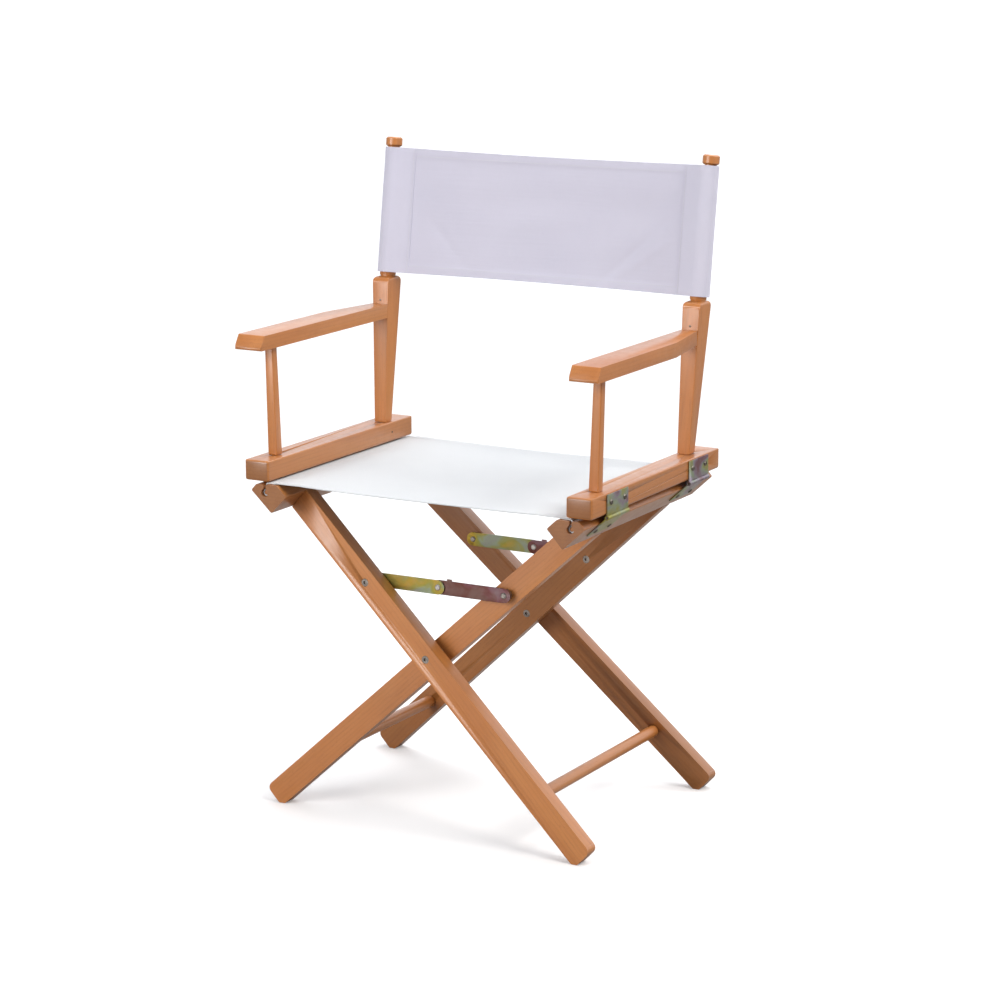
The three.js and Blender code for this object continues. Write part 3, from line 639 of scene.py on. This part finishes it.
@dataclass
class Fastener:
    """Screw heads, brads and stitches: heads and brads are modelled once at the origin, facing +Z, and
    copied; stitch rows are made where they lie.
    """

    head_radius: float = 3.6 * MM
    head_height: float = 1.1 * MM
    recess_width: float = 0.8 * MM
    recess_depth: float = 0.7 * MM
    brad_radius: float = 1.6 * MM
    stitch_length: float = 2.6 * MM
    stitch_width: float = 0.75 * MM

    def screw_head(self) -> Object:
        """A domed head with a cross recess, its underside on the XY plane."""
        clear_selection()
        bpy.ops.mesh.primitive_cylinder_add(vertices=28, radius=self.head_radius, depth=self.head_height,
                                            location=(0, 0, self.head_height / 2))
        head = added("screw_head")
        bpy.ops.object.mode_set(mode="EDIT")
        bpy.ops.mesh.select_all(action="DESELECT")
        bpy.ops.object.mode_set(mode="OBJECT")
        for face in head.data.polygons:
            face.select = face.normal.z > 0.9
        bpy.ops.object.mode_set(mode="EDIT")
        bpy.ops.transform.resize(value=(0.78, 0.78, 1.0), center_override=(0, 0, self.head_height))
        bpy.ops.mesh.inset(thickness=0.9 * MM)
        bpy.ops.transform.translate(value=(0, 0, 0.25 * MM))
        bpy.ops.object.mode_set(mode="OBJECT")
        for turn in (0.0, math.pi / 2):
            clear_selection()
            bpy.ops.mesh.primitive_cube_add(
                size=1.0, location=(0, 0, self.head_height + 0.25 * MM), rotation=(0, 0, turn),
                scale=(self.head_radius * 1.15, self.recess_width, 2 * self.recess_depth))
            cutter = added("cross_cutter")
            activate(head)
            apply_modifier(head, "BOOLEAN", object=cutter, operation="DIFFERENCE", solver="EXACT")
            bpy.data.objects.remove(cutter)
        smooth(head)
        return head

    def brad(self) -> Object:
        """The small dome of a panel pin, its middle at the origin."""
        clear_selection()
        bpy.ops.mesh.primitive_uv_sphere_add(segments=14, ring_count=8, radius=self.brad_radius)
        pin = added("brad")
        bpy.ops.object.mode_set(mode="EDIT")
        bpy.ops.mesh.select_all(action="SELECT")
        bpy.ops.transform.resize(value=(1.0, 1.0, 0.35), center_override=(0, 0, 0))
        bpy.ops.object.mode_set(mode="OBJECT")
        smooth(pin, math.radians(60))
        return pin

    def stitch_row(self, name: str, start: Vector, end: Vector, out: Vector) -> Object:
        """A straight row of stitches.

        Args:
            name: The piece's name.
            start: Where the row begins.
            end: Where it ends.
            out: Direction out of the cloth.

        Returns:
            One piece with every stitch of the row.
        """
        along = (end - start).normalized()
        across = out.cross(along).normalized()
        pitch = self.stitch_length * 1.35
        count = int((end - start).length / pitch)
        points: list[Vector] = []
        faces: list[tuple[int, ...]] = []
        for index in range(count):
            middle = start + along * pitch * (index + 0.5)
            first = len(points)
            for step in (-0.5, -0.2, 0.2, 0.5):
                swell = 1.0 if abs(step) < 0.4 else 0.35
                centre = middle + along * self.stitch_length * step
                for corner in range(6):
                    angle = corner * math.pi / 3
                    points.append(centre + (across * math.cos(angle) + out * math.sin(angle) * 0.7)
                                  * self.stitch_width / 2 * swell)
            for ring in range(3):
                for corner in range(6):
                    a, b = first + ring * 6 + corner, first + ring * 6 + (corner + 1) % 6
                    faces.append((a, b, b + 6, a + 6))
            faces.append(tuple(first + corner for corner in range(6)))
            faces.append(tuple(first + 18 + corner for corner in range(6)))
        row = mesh_piece(name, points, faces)
        smooth(row, math.radians(60))
        return row


# ---------------------------------------------------------------- sub-assemblies


@dataclass
class LegFrame:
    """A pair of crossed-over legs with its seat batten, stretcher, lower hinge leaves and pins."""

    name: str
    side: str
    effects: Effects
    leg_edge: float = 2.2 * MM
    batten_edge: float = 1.6 * MM
    screw_reach: float = 29 * MM
    screw_inset: float = 10 * MM
    # the rear legs get a darker tone than the front ones: painted shade, for the shade under the seat
    rear_leg_shade_tone: float = 0.66

    @property
    def body(self) -> str:
        """The CAD body of this frame."""
        return f"{self.name}_legs"

    def build(self, fastener: Fastener, plate: Material, steel: Material) -> None:
        """Build and hang every piece of the frame.

        Args:
            fastener: Makes screw heads and brads.
            plate: Finish of the hinge leaves.
            steel: Finish of pins and screws.
        """
        hand = SIDES[self.side]
        grain = Grain.UP_LEFT if hand < 0 else Grain.UP_RIGHT
        for number, place in enumerate(PLACES):
            # painted shade: the rear legs' wood is a darker copy of the front legs' wood
            tone = 1.0 if place == "front" else self.rear_leg_shade_tone
            wood = Varnish(f"{self.name}_{place}_leg_beech", grain.value,
                           (0.31 * number, 0.17 * hand, 0.4), tone)
            node = f"{self.name}_{place}_leg"
            hang(eased_copy(node, self.leg_edge), self.body, wood.build(self.effects), (node,))
        # the batten's end-grain tone darkens its front-facing ends, partly as painted shade
        wood = Varnish(f"{self.side}_batten_beech", Grain.DEPTH.value, (0.2, 0.3 * hand, 0.9), 0.78, 0.72)
        node = f"{self.side}_seat_batten"
        hang(eased_copy(node, self.batten_edge, 60 * MM), self.body, wood.build(self.effects),
             (node,))
        wood = Varnish(f"{self.name}_stretcher_beech", Grain.DEPTH.value, (0.7, 0.1 * hand, 0.2), 0.9)
        node = f"{self.name}_stretcher"
        hang(eased_copy(node, 0.6 * MM, 1.0), self.body, wood.build(self.effects), (node,))
        head = fastener.screw_head()
        for place in PLACES:
            node = f"{self.side}_{place}_hinge_lower_leaf"
            hang(eased_copy(node, 0.35 * MM, 20 * MM), self.body, plate, (node,))
            repaint(f"{self.side}_{place}_hinge_pin", steel)
            self.add_lower_screws(head, node, place, hand, steel)
        bpy.data.objects.remove(head)

    def add_lower_screws(self, head: Object, leaf: str, place: str, hand: int, steel: Material) -> None:
        """Drive two screws through a lower leaf into the batten.

        Args:
            head: The screw head to copy.
            leaf: The CAD node of the leaf.
            place: Front or rear.
            hand: 1 for the right side, -1 for the left.
            steel: The screws' finish.
        """
        pin_low, pin_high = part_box(f"{self.side}_{place}_hinge_pin")
        axis = (pin_low + pin_high) / 2
        down = Vector((-math.cos(LEG_SLOPE) * hand, 0, -math.sin(LEG_SLOPE)))
        out = Vector((math.sin(LEG_SLOPE) * hand, 0, -math.cos(LEG_SLOPE)))
        low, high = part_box(leaf)
        for number, y in enumerate((low.y + self.screw_inset, high.y - self.screw_inset)):
            seat = Vector((axis.x, y, axis.z)) + down * self.screw_reach + out * 0.9 * MM
            place_at = Matrix.Translation(seat) @ out.to_track_quat("Z", "Y").to_matrix().to_4x4()
            screw = moved_copy(head, place_at, f"{leaf}_screw_{number + 1}")
            hang(screw, self.body, steel)


@dataclass
class PivotsAndBraces:
    """The scissor bolts and the folding links."""

    link_edge: float = 0.4 * MM

    def build(self, gold: Material, bronze: Material, steel: Material, bright: Material) -> None:
        """Dress the bolts, and build and hang the links.

        Args:
            gold: Finish of the left links.
            bronze: Finish of the right links.
            steel: Finish of the bolts.
            bright: Finish of the knee rivets.
        """
        for place in PLACES:
            for part in ("pivot_bolt", "pivot_spacer", "pivot_nut", "left_brace_bolt", "right_brace_bolt"):
                repaint(f"{place}_{part}", steel)
            for part in ("knee_rivet_head", "knee_rivet_tail"):
                repaint(f"{place}_{part}", bright)
            for side, plate in (("left", gold), ("right", bronze)):
                node = f"{place}_{side}_link"
                hang(eased_copy(node, self.link_edge, 20 * MM), f"{place}_{side}_brace", plate,
                     (node,))


@dataclass
class SideFrame:
    """An arm rail with its posts, armrest and upper hinge leaves."""

    side: str
    effects: Effects
    rail_edge: float = 3.2 * MM
    post_edge: float = 1.8 * MM
    arm_edge: float = 3.2 * MM

    @property
    def body(self) -> str:
        """The CAD body of this side."""
        return f"{self.side}_side"

    def build(self, fastener: Fastener, plate: Material, steel: Material) -> None:
        """Build and hang every piece of the side.

        Args:
            fastener: Makes screw heads and brads.
            plate: Finish of the hinge leaves.
            steel: Finish of screws and brads.
        """
        hand = SIDES[self.side]
        # the arm rail's strong end-grain tone darkens its front-facing ends, partly as painted shade
        for part, radius, grain, tone, end_grain_and_shade_tone in (
            ("arm_rail", self.rail_edge, Grain.DEPTH, 0.88, 0.62),
            ("front_post", self.post_edge, Grain.UPRIGHT, 1.0, 0.92),
            ("back_post", self.post_edge, Grain.UPRIGHT, 1.0, 0.92),
            ("armrest", self.arm_edge, Grain.DEPTH, 0.95, 0.92),
        ):
            node = f"{self.side}_{part}"
            wood = Varnish(f"{node}_beech", grain.value, (0.13 * len(part), 0.21 * hand, 0.37), tone,
                           end_grain_and_shade_tone)
            hang(eased_copy(node, radius), self.body, wood.build(self.effects), (node,))
        head = fastener.screw_head()
        for place in PLACES:
            node = f"{self.side}_{place}_hinge_upper_leaf"
            hang(eased_copy(node, 0.35 * MM, 20 * MM), self.body, plate, (node,))
            for number in (1, 2):
                self.add_screw(head, f"{self.side}_{place}_hinge_screw_{number}", hand, steel)
        bpy.data.objects.remove(head)
        self.add_brads(fastener, hand, steel)

    def add_screw(self, head: Object, node: str, hand: int, steel: Material) -> None:
        """Put a screw with a recessed head where a CAD screw is.

        Args:
            head: The screw head to copy.
            node: The CAD node of the screw.
            hand: 1 for the right side, -1 for the left.
            steel: The screw's finish.
        """
        low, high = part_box(node)
        middle = (low + high) / 2
        face = (high.x if hand > 0 else low.x) - 1.1 * MM * hand
        outward = Matrix.Rotation(hand * math.pi / 2, 4, "Y")
        place_at = Matrix.Translation((face, middle.y, middle.z)) @ outward
        hang(moved_copy(head, place_at, f"{node}_piece"), self.body, steel, (node,))

    def add_brads(self, fastener: Fastener, hand: int, steel: Material) -> None:
        """Pin the posts where they pass the armrest and enter the rail.

        Args:
            fastener: Makes the brads.
            hand: 1 for the right side, -1 for the left.
            steel: The brads' finish.
        """
        pin = fastener.brad()
        rail_low, rail_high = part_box(f"{self.side}_arm_rail")
        arm_low, arm_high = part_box(f"{self.side}_armrest")
        post_low, post_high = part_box(f"{self.side}_back_post")
        inner = rail_low.x if hand > 0 else rail_high.x
        post_middle = (post_low.x + post_high.x) / 2 - 2 * MM * hand
        places = (
            (Matrix.Translation((inner, post_low.y + 9 * MM, rail_high.z - 14 * MM))
             @ Matrix.Rotation(-hand * math.pi / 2, 4, "Y"), "rail_brad"),
            (Matrix.Translation((post_middle, arm_high.y + 0.5 * MM, arm_high.z + 5 * MM))
             @ Matrix.Rotation(math.pi / 2, 4, "X"), "post_brad"),
        )
        for place_at, name in places:
            hang(moved_copy(pin, place_at, f"{self.side}_{name}"), self.body, steel)
        bpy.data.objects.remove(pin)


@dataclass
class Sheet:
    """A woven sheet with a rolled hem, drawn from a path across and rows along it."""

    thickness: float = 1.3 * MM
    hem_width: float = 12 * MM
    hem_rise: float = 0.7 * MM

    def skin(self, name: str, rows: list[list[Vector]]) -> Object:
        """Join rows of points into a thick sheet.

        Args:
            name: The piece's name.
            rows: Rows of points, each with the same number.

        Returns:
            The piece with its thickness.
        """
        width = len(rows[0])
        points = [point for row in rows for point in row]
        faces = [(r * width + c, r * width + c + 1, (r + 1) * width + c + 1, (r + 1) * width + c)
                 for r in range(len(rows) - 1) for c in range(width - 1)]
        piece = mesh_piece(name, points, faces)
        apply_modifier(piece, "SOLIDIFY", thickness=self.thickness, offset=0.0)
        smooth(piece, math.radians(50))
        return piece

    def hem_lift(self, from_edge: float) -> float:
        """How far the cloth stands up in its hem, from the distance to the edge."""
        fade = min(max((self.hem_width - from_edge) / (1.5 * MM), 0.0), 1.0)
        return self.hem_rise * fade


@dataclass
class SeatCanvas(Sheet):
    """The seat: it lies over both battens and hangs from a rod in each keyhole."""

    sag: float = 3.0 * MM
    rows: int = 110
    columns: int = 96
    loop_radius: float = 3.9 * MM
    flat_width: float = 0.512
    pieces: list[Object] = field(default_factory=list)

    def path(self) -> list[Vector]:
        """The cloth's line across the seat, from one rod to the other, in X and Z."""
        low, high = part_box("right_hem_rod")
        rod = Vector(((low.x + high.x) / 2, 0, (low.z + high.z) / 2))
        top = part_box("seat_canvas")[1].z - 0.8 * MM
        loop = []
        for step in range(15):
            angle = math.radians(118 - step * 22.5)
            loop.append(rod + Vector((math.cos(angle), 0, math.sin(angle))) * self.loop_radius)
        loop += [Vector((rod.x + 0.4 * MM, 0, top - 4 * MM)), Vector((rod.x - 0.2 * MM, 0, top - 1.2 * MM)),
                 Vector((rod.x - 1.6 * MM, 0, top - 0.2 * MM))]
        reach = rod.x - 3 * MM
        middle = [Vector((reach - 2 * reach * step / self.columns, 0, top))
                  for step in range(self.columns + 1)]
        other = [Vector((-point.x, 0, point.z)) for point in reversed(loop)]
        return loop + middle + other

    def build(self, cloth: Material, thread: Material, rod_wood: Material, fastener: Fastener) -> None:
        """Build the cloth, its stitches and its rods.

        Args:
            cloth: The canvas.
            thread: The stitches' finish.
            rod_wood: The rods' finish.
            fastener: Makes the stitches.
        """
        low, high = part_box("seat_canvas")
        path = self.path()
        reach = high.x - 40 * MM
        rows = []
        for row in range(self.rows + 1):
            share = row / self.rows
            y = low.y + (high.y - low.y) * share
            edge = min(y - low.y, high.y - y)
            line = []
            for point in path:
                across = max(0.0, 1.0 - (point.x / reach) ** 2)
                ripple = noise.noise(Vector((point.x * 9, y * 16, 0.3))) * 0.5 * MM
                pull = 0.6 * MM * math.sin(y * 95) * math.exp(-((abs(point.x) - reach) / (26 * MM)) ** 2)
                lift = self.hem_lift(edge) if abs(point.x) < reach + 20 * MM else 0.0
                drop = across * (-self.sag * (0.65 + 0.35 * math.sin(share * math.pi)) + ripple)
                inset = across * 1.6 * MM * (1 if share < 0.5 else -1) * math.exp(-(edge / (30 * MM)) ** 2)
                line.append(Vector((point.x, y + inset, point.z + drop + pull * min(across * 6, 1) + lift)))
            rows.append(line)
        seat = self.skin("seat_cloth", rows)
        hang(seat, "", cloth, ("seat_canvas",))
        self.pieces.append(seat)
        top = high.z - 0.15 * MM
        for name, y in (("front", low.y + self.hem_width - 1.5 * MM),
                        ("rear", high.y - self.hem_width + 1.5 * MM)):
            self.pieces.append(self.sewn(f"seat_{name}_stitches", y, top, reach, fastener, thread))
        for piece in self.pieces:
            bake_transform(piece)
        for side, hand in SIDES.items():
            node = f"{side}_hem_rod"
            body = "outer_legs" if hand < 0 else "inner_legs"
            hang(eased_copy(node, 0.5 * MM, 1.0), body, rod_wood, (node,))

    def sewn(self, name: str, y: float, top: float, reach: float, fastener: Fastener,
             thread: Material) -> Object:
        """A row of stitches across the seat that follows its sag.

        Args:
            name: The piece's name.
            y: The row's place from front to rear.
            top: Height of the cloth's upper face at the battens.
            reach: Half the width between the battens.
            fastener: Makes the stitches.
            thread: Their finish.

        Returns:
            The row.
        """
        row = fastener.stitch_row(name, Vector((-reach - 20 * MM, y, top)), Vector((reach + 20 * MM, y, top)),
                                  Vector((0, 0, 1)))
        for vertex in row.data.vertices:
            across = max(0.0, 1.0 - (vertex.co.x / reach) ** 2)
            vertex.co.z += self.hem_lift(self.hem_width - 1.5 * MM) - across * self.sag * 0.7
        hang(row, "", thread)
        return row


@dataclass
class BackCanvas(Sheet):
    """The back: a panel between two pockets that slip over the turned tops of the posts."""

    rake: float = math.radians(8.3)
    pocket_radius: float = 13.9 * MM
    seam_reach: float = 47 * MM
    slack: float = 2.5 * MM
    columns: int = 130
    rows: int = 60
    fold_keep: float = 0.033
    stitch_gap: float = 2.5 * MM

    def measure(self) -> None:
        """Read the sheet's place from the CAD."""
        low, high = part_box("back_canvas")
        self.outer = high.x
        self.bottom = low.z + 1.6 * MM
        self.height = (high.z - low.z - 3.2 * MM) / math.cos(self.rake)
        self.foot = low.y + self.pocket_radius + 0.7 * MM
        self.seam = self.outer - self.seam_reach

    def at(self, x: float, out: float, up: float) -> Vector:
        """A point of the leaning sheet.

        Args:
            x: Across the chair.
            out: In front of the sheet's middle plane, towards the rear when positive.
            up: Along the lean from the lower edge.

        Returns:
            The point in the row frame.
        """
        return Vector((x, self.foot + out * math.cos(self.rake) + up * math.sin(self.rake),
                       self.bottom + up * math.cos(self.rake) - out * math.sin(self.rake)))

    def creased(self, x: float, up: float) -> float:
        """Depth of the panel's slack, ripples and creases at a place."""
        share = x / self.seam
        edge = 1.0 - share * share
        bow = self.slack * edge
        ripple = noise.noise(Vector((x * 5, (up - 0.10 * x) * 26, 2.7))) * 1.5 * MM * min(1.0, edge * 3)
        crease = 0.0
        for centre, slope, width, depth in ((0.62, 0.75, 6 * MM, 1.1 * MM), (0.74, 0.62, 5 * MM, -0.8 * MM),
                                            (-0.70, -0.8, 7 * MM, 0.7 * MM)):
            across, rise = x - centre * self.seam, up - 0.25 * self.height
            distance = across * math.sin(slope) - rise * math.cos(slope)
            along = across * math.cos(slope) + rise * math.sin(slope)
            crease += depth * math.exp(-(distance / width) ** 2) * math.exp(-(along / (55 * MM)) ** 2)
        return bow + (ripple + crease) * min(1.0, edge * 5)

    def build(self, cloth: Material, thread: Material, fastener: Fastener) -> None:
        """Build the panel, both pockets and the stitches.

        Args:
            cloth: The canvas.
            thread: The stitches' finish.
            fastener: Makes the stitches.
        """
        self.measure()
        panel = self.panel()
        hang(panel, "left_side", cloth, ("back_canvas",))
        folding = [panel] + self.hem_stitches(thread, fastener)
        for piece in folding:
            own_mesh(piece)
        pockets = [self.pocket(side, hand, cloth, thread, fastener) for side, hand in SIDES.items()]

    def panel(self) -> Object:
        """The panel between the seams, with its upper and lower hems."""
        rows = []
        for row in range(self.rows + 1):
            up = self.height * row / self.rows
            edge = min(up, self.height - up)
            line = []
            for column in range(self.columns + 1):
                x = -self.seam + 2 * self.seam * column / self.columns
                dip = 1.4 * MM * (1 - (x / self.seam) ** 2) * (1 if up < self.height / 2 else -1)
                dip *= math.exp(-(edge / (25 * MM)) ** 2)
                line.append(self.at(x, self.creased(x, up) - self.hem_lift(edge), up + dip))
            rows.append(line)
        return self.skin("back_panel", rows)

    def hem_stitches(self, thread: Material, fastener: Fastener) -> list[Object]:
        """Rows of stitches along the upper and lower hems."""
        found = []
        lift = self.hem_lift(0.0) + self.thickness / 2
        for name, up in (("upper", self.height - self.hem_width + 1.6 * MM),
                         ("lower", self.hem_width - 1.6 * MM)):
            row = fastener.stitch_row(f"back_{name}_hem_stitches", self.at(-self.seam, 0, up),
                                      self.at(self.seam, 0, up), self.at(0, -1, 0) - self.at(0, 0, 0))
            for vertex in row.data.vertices:
                depth = self.creased(vertex.co.x, up) - lift
                vertex.co += self.at(0, depth, 0) - self.at(0, 0, 0)
            hang(row, "left_side", thread)
            found.append(row)
        return found

    def pocket(self, side: str, hand: int, cloth: Material, thread: Material, fastener: Fastener) -> Object:
        """A pocket with its seam stitches.

        Args:
            side: Left or right.
            hand: 1 for the right side, -1 for the left.
            cloth: The canvas.
            thread: The stitches' finish.
            fastener: Makes the stitches.

        Returns:
            The pocket.
        """
        radius = self.pocket_radius
        centre = self.outer - radius - 0.7 * MM
        tangent = math.acos(radius / (centre - self.seam))
        profile = [(self.seam, -1.1 * MM), (self.seam + 4 * MM, -1.1 * MM)]
        for step in range(29):
            angle = tangent - math.pi + (2 * math.pi - 2 * tangent) * step / 28
            profile.append((centre + radius * math.cos(angle), radius * math.sin(angle)))
        profile += [(self.seam + 4 * MM, 1.1 * MM), (self.seam, 1.1 * MM)]
        rows = []
        for row in range(self.rows + 1):
            up = self.height * row / self.rows
            edge = min(up, self.height - up)
            lift = 1.0 + self.hem_lift(edge) / radius * 0.6
            line = []
            for x, out in profile:
                soft = noise.noise(Vector((x * 30 * hand, up * 14, out * 40))) * 0.5 * MM
                away = min(1.0, (x - self.seam) / (14 * MM))
                line.append(self.at(x * hand, out * lift + soft * away, up))
            rows.append(line)
        piece = self.skin(f"{side}_pocket", rows)
        hang(piece, f"{side}_side", cloth)
        for number, gap in enumerate((self.stitch_gap, self.stitch_gap + 4 * MM)):
            x = (self.seam + gap) * hand
            depth = -1.1 * MM - self.thickness / 2 - 0.10 * gap
            row = fastener.stitch_row(f"{side}_pocket_stitches_{number + 1}", self.at(x, depth, 1 * MM),
                                      self.at(x, depth, self.height - 1 * MM),
                                      self.at(0, -1, 0) - self.at(0, 0, 0))
            hang(row, f"{side}_side", thread)
        return piece


# ---------------------------------------------------------------- studio


@dataclass(frozen=True)
class FloorFinish(Finish):
    """Matt, almost white studio floor that throws little light back up, and that glows for the camera, more
    so with distance: painted light.
    """

    hidden: tuple[float, float, float, float] = (0.30, 0.28, 0.26, 1.0)
    near_glow: float = 0.12
    far_glow: float = 0.50

    def build(self, effects: Effects) -> Material:
        """Build the floor with a barely uneven tone and a painted glow."""
        material, g, shader, vector = self.start()
        mottle = g.shared(effects.mottle, {"Vector": vector, "Scale": 0.8})
        tone = g.mix(g.math("MULTIPLY", mottle.outputs["Mask"], 0.4), (0.86, 0.86, 0.86, 1.0),
                     (0.83, 0.83, 0.835, 1.0))
        seen = g.add("ShaderNodeLightPath").outputs["Is Camera Ray"]
        shown = g.mix(seen, self.hidden, tone)
        # painted light: camera rays see the floor glow, more so far away, so that it fades to white
        distance = g.add("ShaderNodeVectorMath", {0: vector}, operation="LENGTH").outputs["Value"]
        glow = g.math("MULTIPLY", seen, g.span(distance, 0.8, 7.0, self.near_glow, self.far_glow))
        self.shade(g, shader, {"Base Color": shown, "Roughness": 0.9, "Emission Color": (1.0, 1.0, 1.0, 1.0),
                               "Emission Strength": glow}, mottle.outputs["Fine"], 0.02 * MM)
        return material


@dataclass
class Studio:
    """Floor, lights and camera."""

    effects: Effects
    camera_place: tuple[float, float, float] = (1.9493, -3.4873, 1.2836)
    camera_turn: tuple[float, float, float] = (math.radians(77.65), 0.0, math.radians(28.94))
    lens: float = 112.25
    sensor: float = 36.0
    floor_size: float = 90.0
    sky: tuple[float, float, float, float] = (0.93, 0.95, 1.0, 1.0)
    front_strength: float = 0.24
    rear_strength: float = 1.25
    top_strength: float = 0.05

    def build(self) -> None:
        """Set up the whole studio."""
        self.add_camera()
        self.add_floor()
        self.add_light("key_light", (2.8, -0.6, 3.0), 1.6, 84.0, (1.0, 0.97, 0.93))
        self.add_light("front_fill", (-1.4, -3.6, 1.6), 2.2, 120.0, (1.0, 0.99, 0.98))
        self.add_light("top_light", (0.2, 0.9, 3.2), 2.0, 47.0, (1.0, 0.99, 0.98))
        self.add_sky()
        bpy.context.scene.view_settings.view_transform = "Standard"

    def add_sky(self) -> None:
        """Surround the chair with a room that is bright behind and above it and dim in front."""
        world = bpy.data.worlds.new("studio")
        world.use_nodes = True
        graph = Graph(world.node_tree)
        background = world.node_tree.nodes["Background"]
        ways = graph.add("ShaderNodeSeparateXYZ", {0: graph.add("ShaderNodeTexCoord").outputs["Generated"]})
        behind = graph.span(ways.outputs["Y"], -0.5, 0.6, self.front_strength, self.rear_strength)
        above = graph.span(ways.outputs["Z"], 0.2, 1.0, 0.0, self.top_strength)
        graph.tree.links.new(graph.math("ADD", behind, above), background.inputs["Strength"])
        background.inputs["Color"].default_value = self.sky
        bpy.context.scene.world = world

    def add_camera(self) -> None:
        """Add the camera and make it the scene's."""
        clear_selection()
        bpy.ops.object.camera_add(location=self.camera_place, rotation=self.camera_turn)
        camera = bpy.context.object
        camera.data.lens = self.lens
        camera.data.sensor_width = self.sensor
        camera.data.clip_end = 200.0
        bpy.context.scene.camera = camera

    def add_floor(self) -> None:
        """Add the floor at the height of the feet."""
        clear_selection()
        bpy.ops.mesh.primitive_plane_add(size=self.floor_size, location=(0, 0, -0.0005))
        floor = added("floor")
        floor.data.materials.append(FloorFinish("studio_floor").build(self.effects))

    @staticmethod
    def add_light(name: str, place: tuple[float, float, float], size: float, power: float,
                  colour: tuple[float, float, float]) -> None:
        """Add a soft square light that faces the chair.

        Args:
            name: The light's name.
            place: Where it stands.
            size: Length of its side.
            power: Its power in watts.
            colour: Its colour.
        """
        clear_selection()
        bpy.ops.object.light_add(type="AREA", location=place)
        light = bpy.context.object
        light.name = name
        light.data.size = size
        light.data.energy = power
        light.data.color = colour
        aim = Vector((0, 0, 0.45)) - Vector(place)
        light.rotation_euler = aim.to_track_quat("-Z", "Y").to_euler()


def main() -> None:
    """Build the chair and its studio in order."""
    logging.basicConfig(level=logging.INFO, format="%(name)s: %(message)s")
    effects = Effects()
    Studio(effects).build()
    fastener = Fastener()
    steel = Steel("bolt_steel").build(effects)
    # screws, hinge pins and brads get a darker copy of the steel: painted shade, standing for the shade in
    # their countersunk seats
    countersink_shaded_steel = Steel("shade_darkened_screw_steel", base=(0.20, 0.18, 0.15, 1.0),
                       dark=(0.07, 0.06, 0.05, 1.0)).build(effects)
    bright = Steel("rivet_steel", base=(0.62, 0.60, 0.58, 1.0), dark=(0.30, 0.28, 0.27, 1.0)).build(effects)
    leaves = Chromate("leaf_zinc", offset=(0.3, 0.1, 0.7), shift=0.22).build(effects)
    gold = Chromate("left_link_zinc", offset=(0.9, 0.4, 0.1), shift=0.0).build(effects)
    bronze = Chromate("right_link_zinc", offset=(0.2, 0.8, 0.5), shift=0.74).build(effects)
    rod_wood = Varnish("hem_rod_beech", Grain.DEPTH.value, tone=0.9).build(effects)
    seat_cloth = Duck("seat_canvas", warp=(0.63, 0.655, 0.67, 1.0),
                      shadow=(0.51, 0.53, 0.56, 1.0)).build(effects)
    back_cloth = Duck("back_canvas", turn=(-math.pi / 2, 0.0, 0.0)).build(effects)
    thread = Duck("sewing_thread", warp=(0.66, 0.665, 0.72, 1.0), shadow=(0.45, 0.455, 0.52, 1.0),
                  weave_depth=0.05 * MM).build(effects)
    for name, side in (("outer", "left"), ("inner", "right")):
        LegFrame(name, side, effects).build(fastener, leaves, countersink_shaded_steel)
    PivotsAndBraces().build(gold, bronze, steel, bright)
    for side in SIDES:
        SideFrame(side, effects).build(fastener, leaves, countersink_shaded_steel)
    SeatCanvas().build(seat_cloth, thread, rod_wood, fastener)
    BackCanvas().build(back_cloth, thread, fastener)
    bpy.context.view_layer.update()


if __name__ == "__main__":
    main()
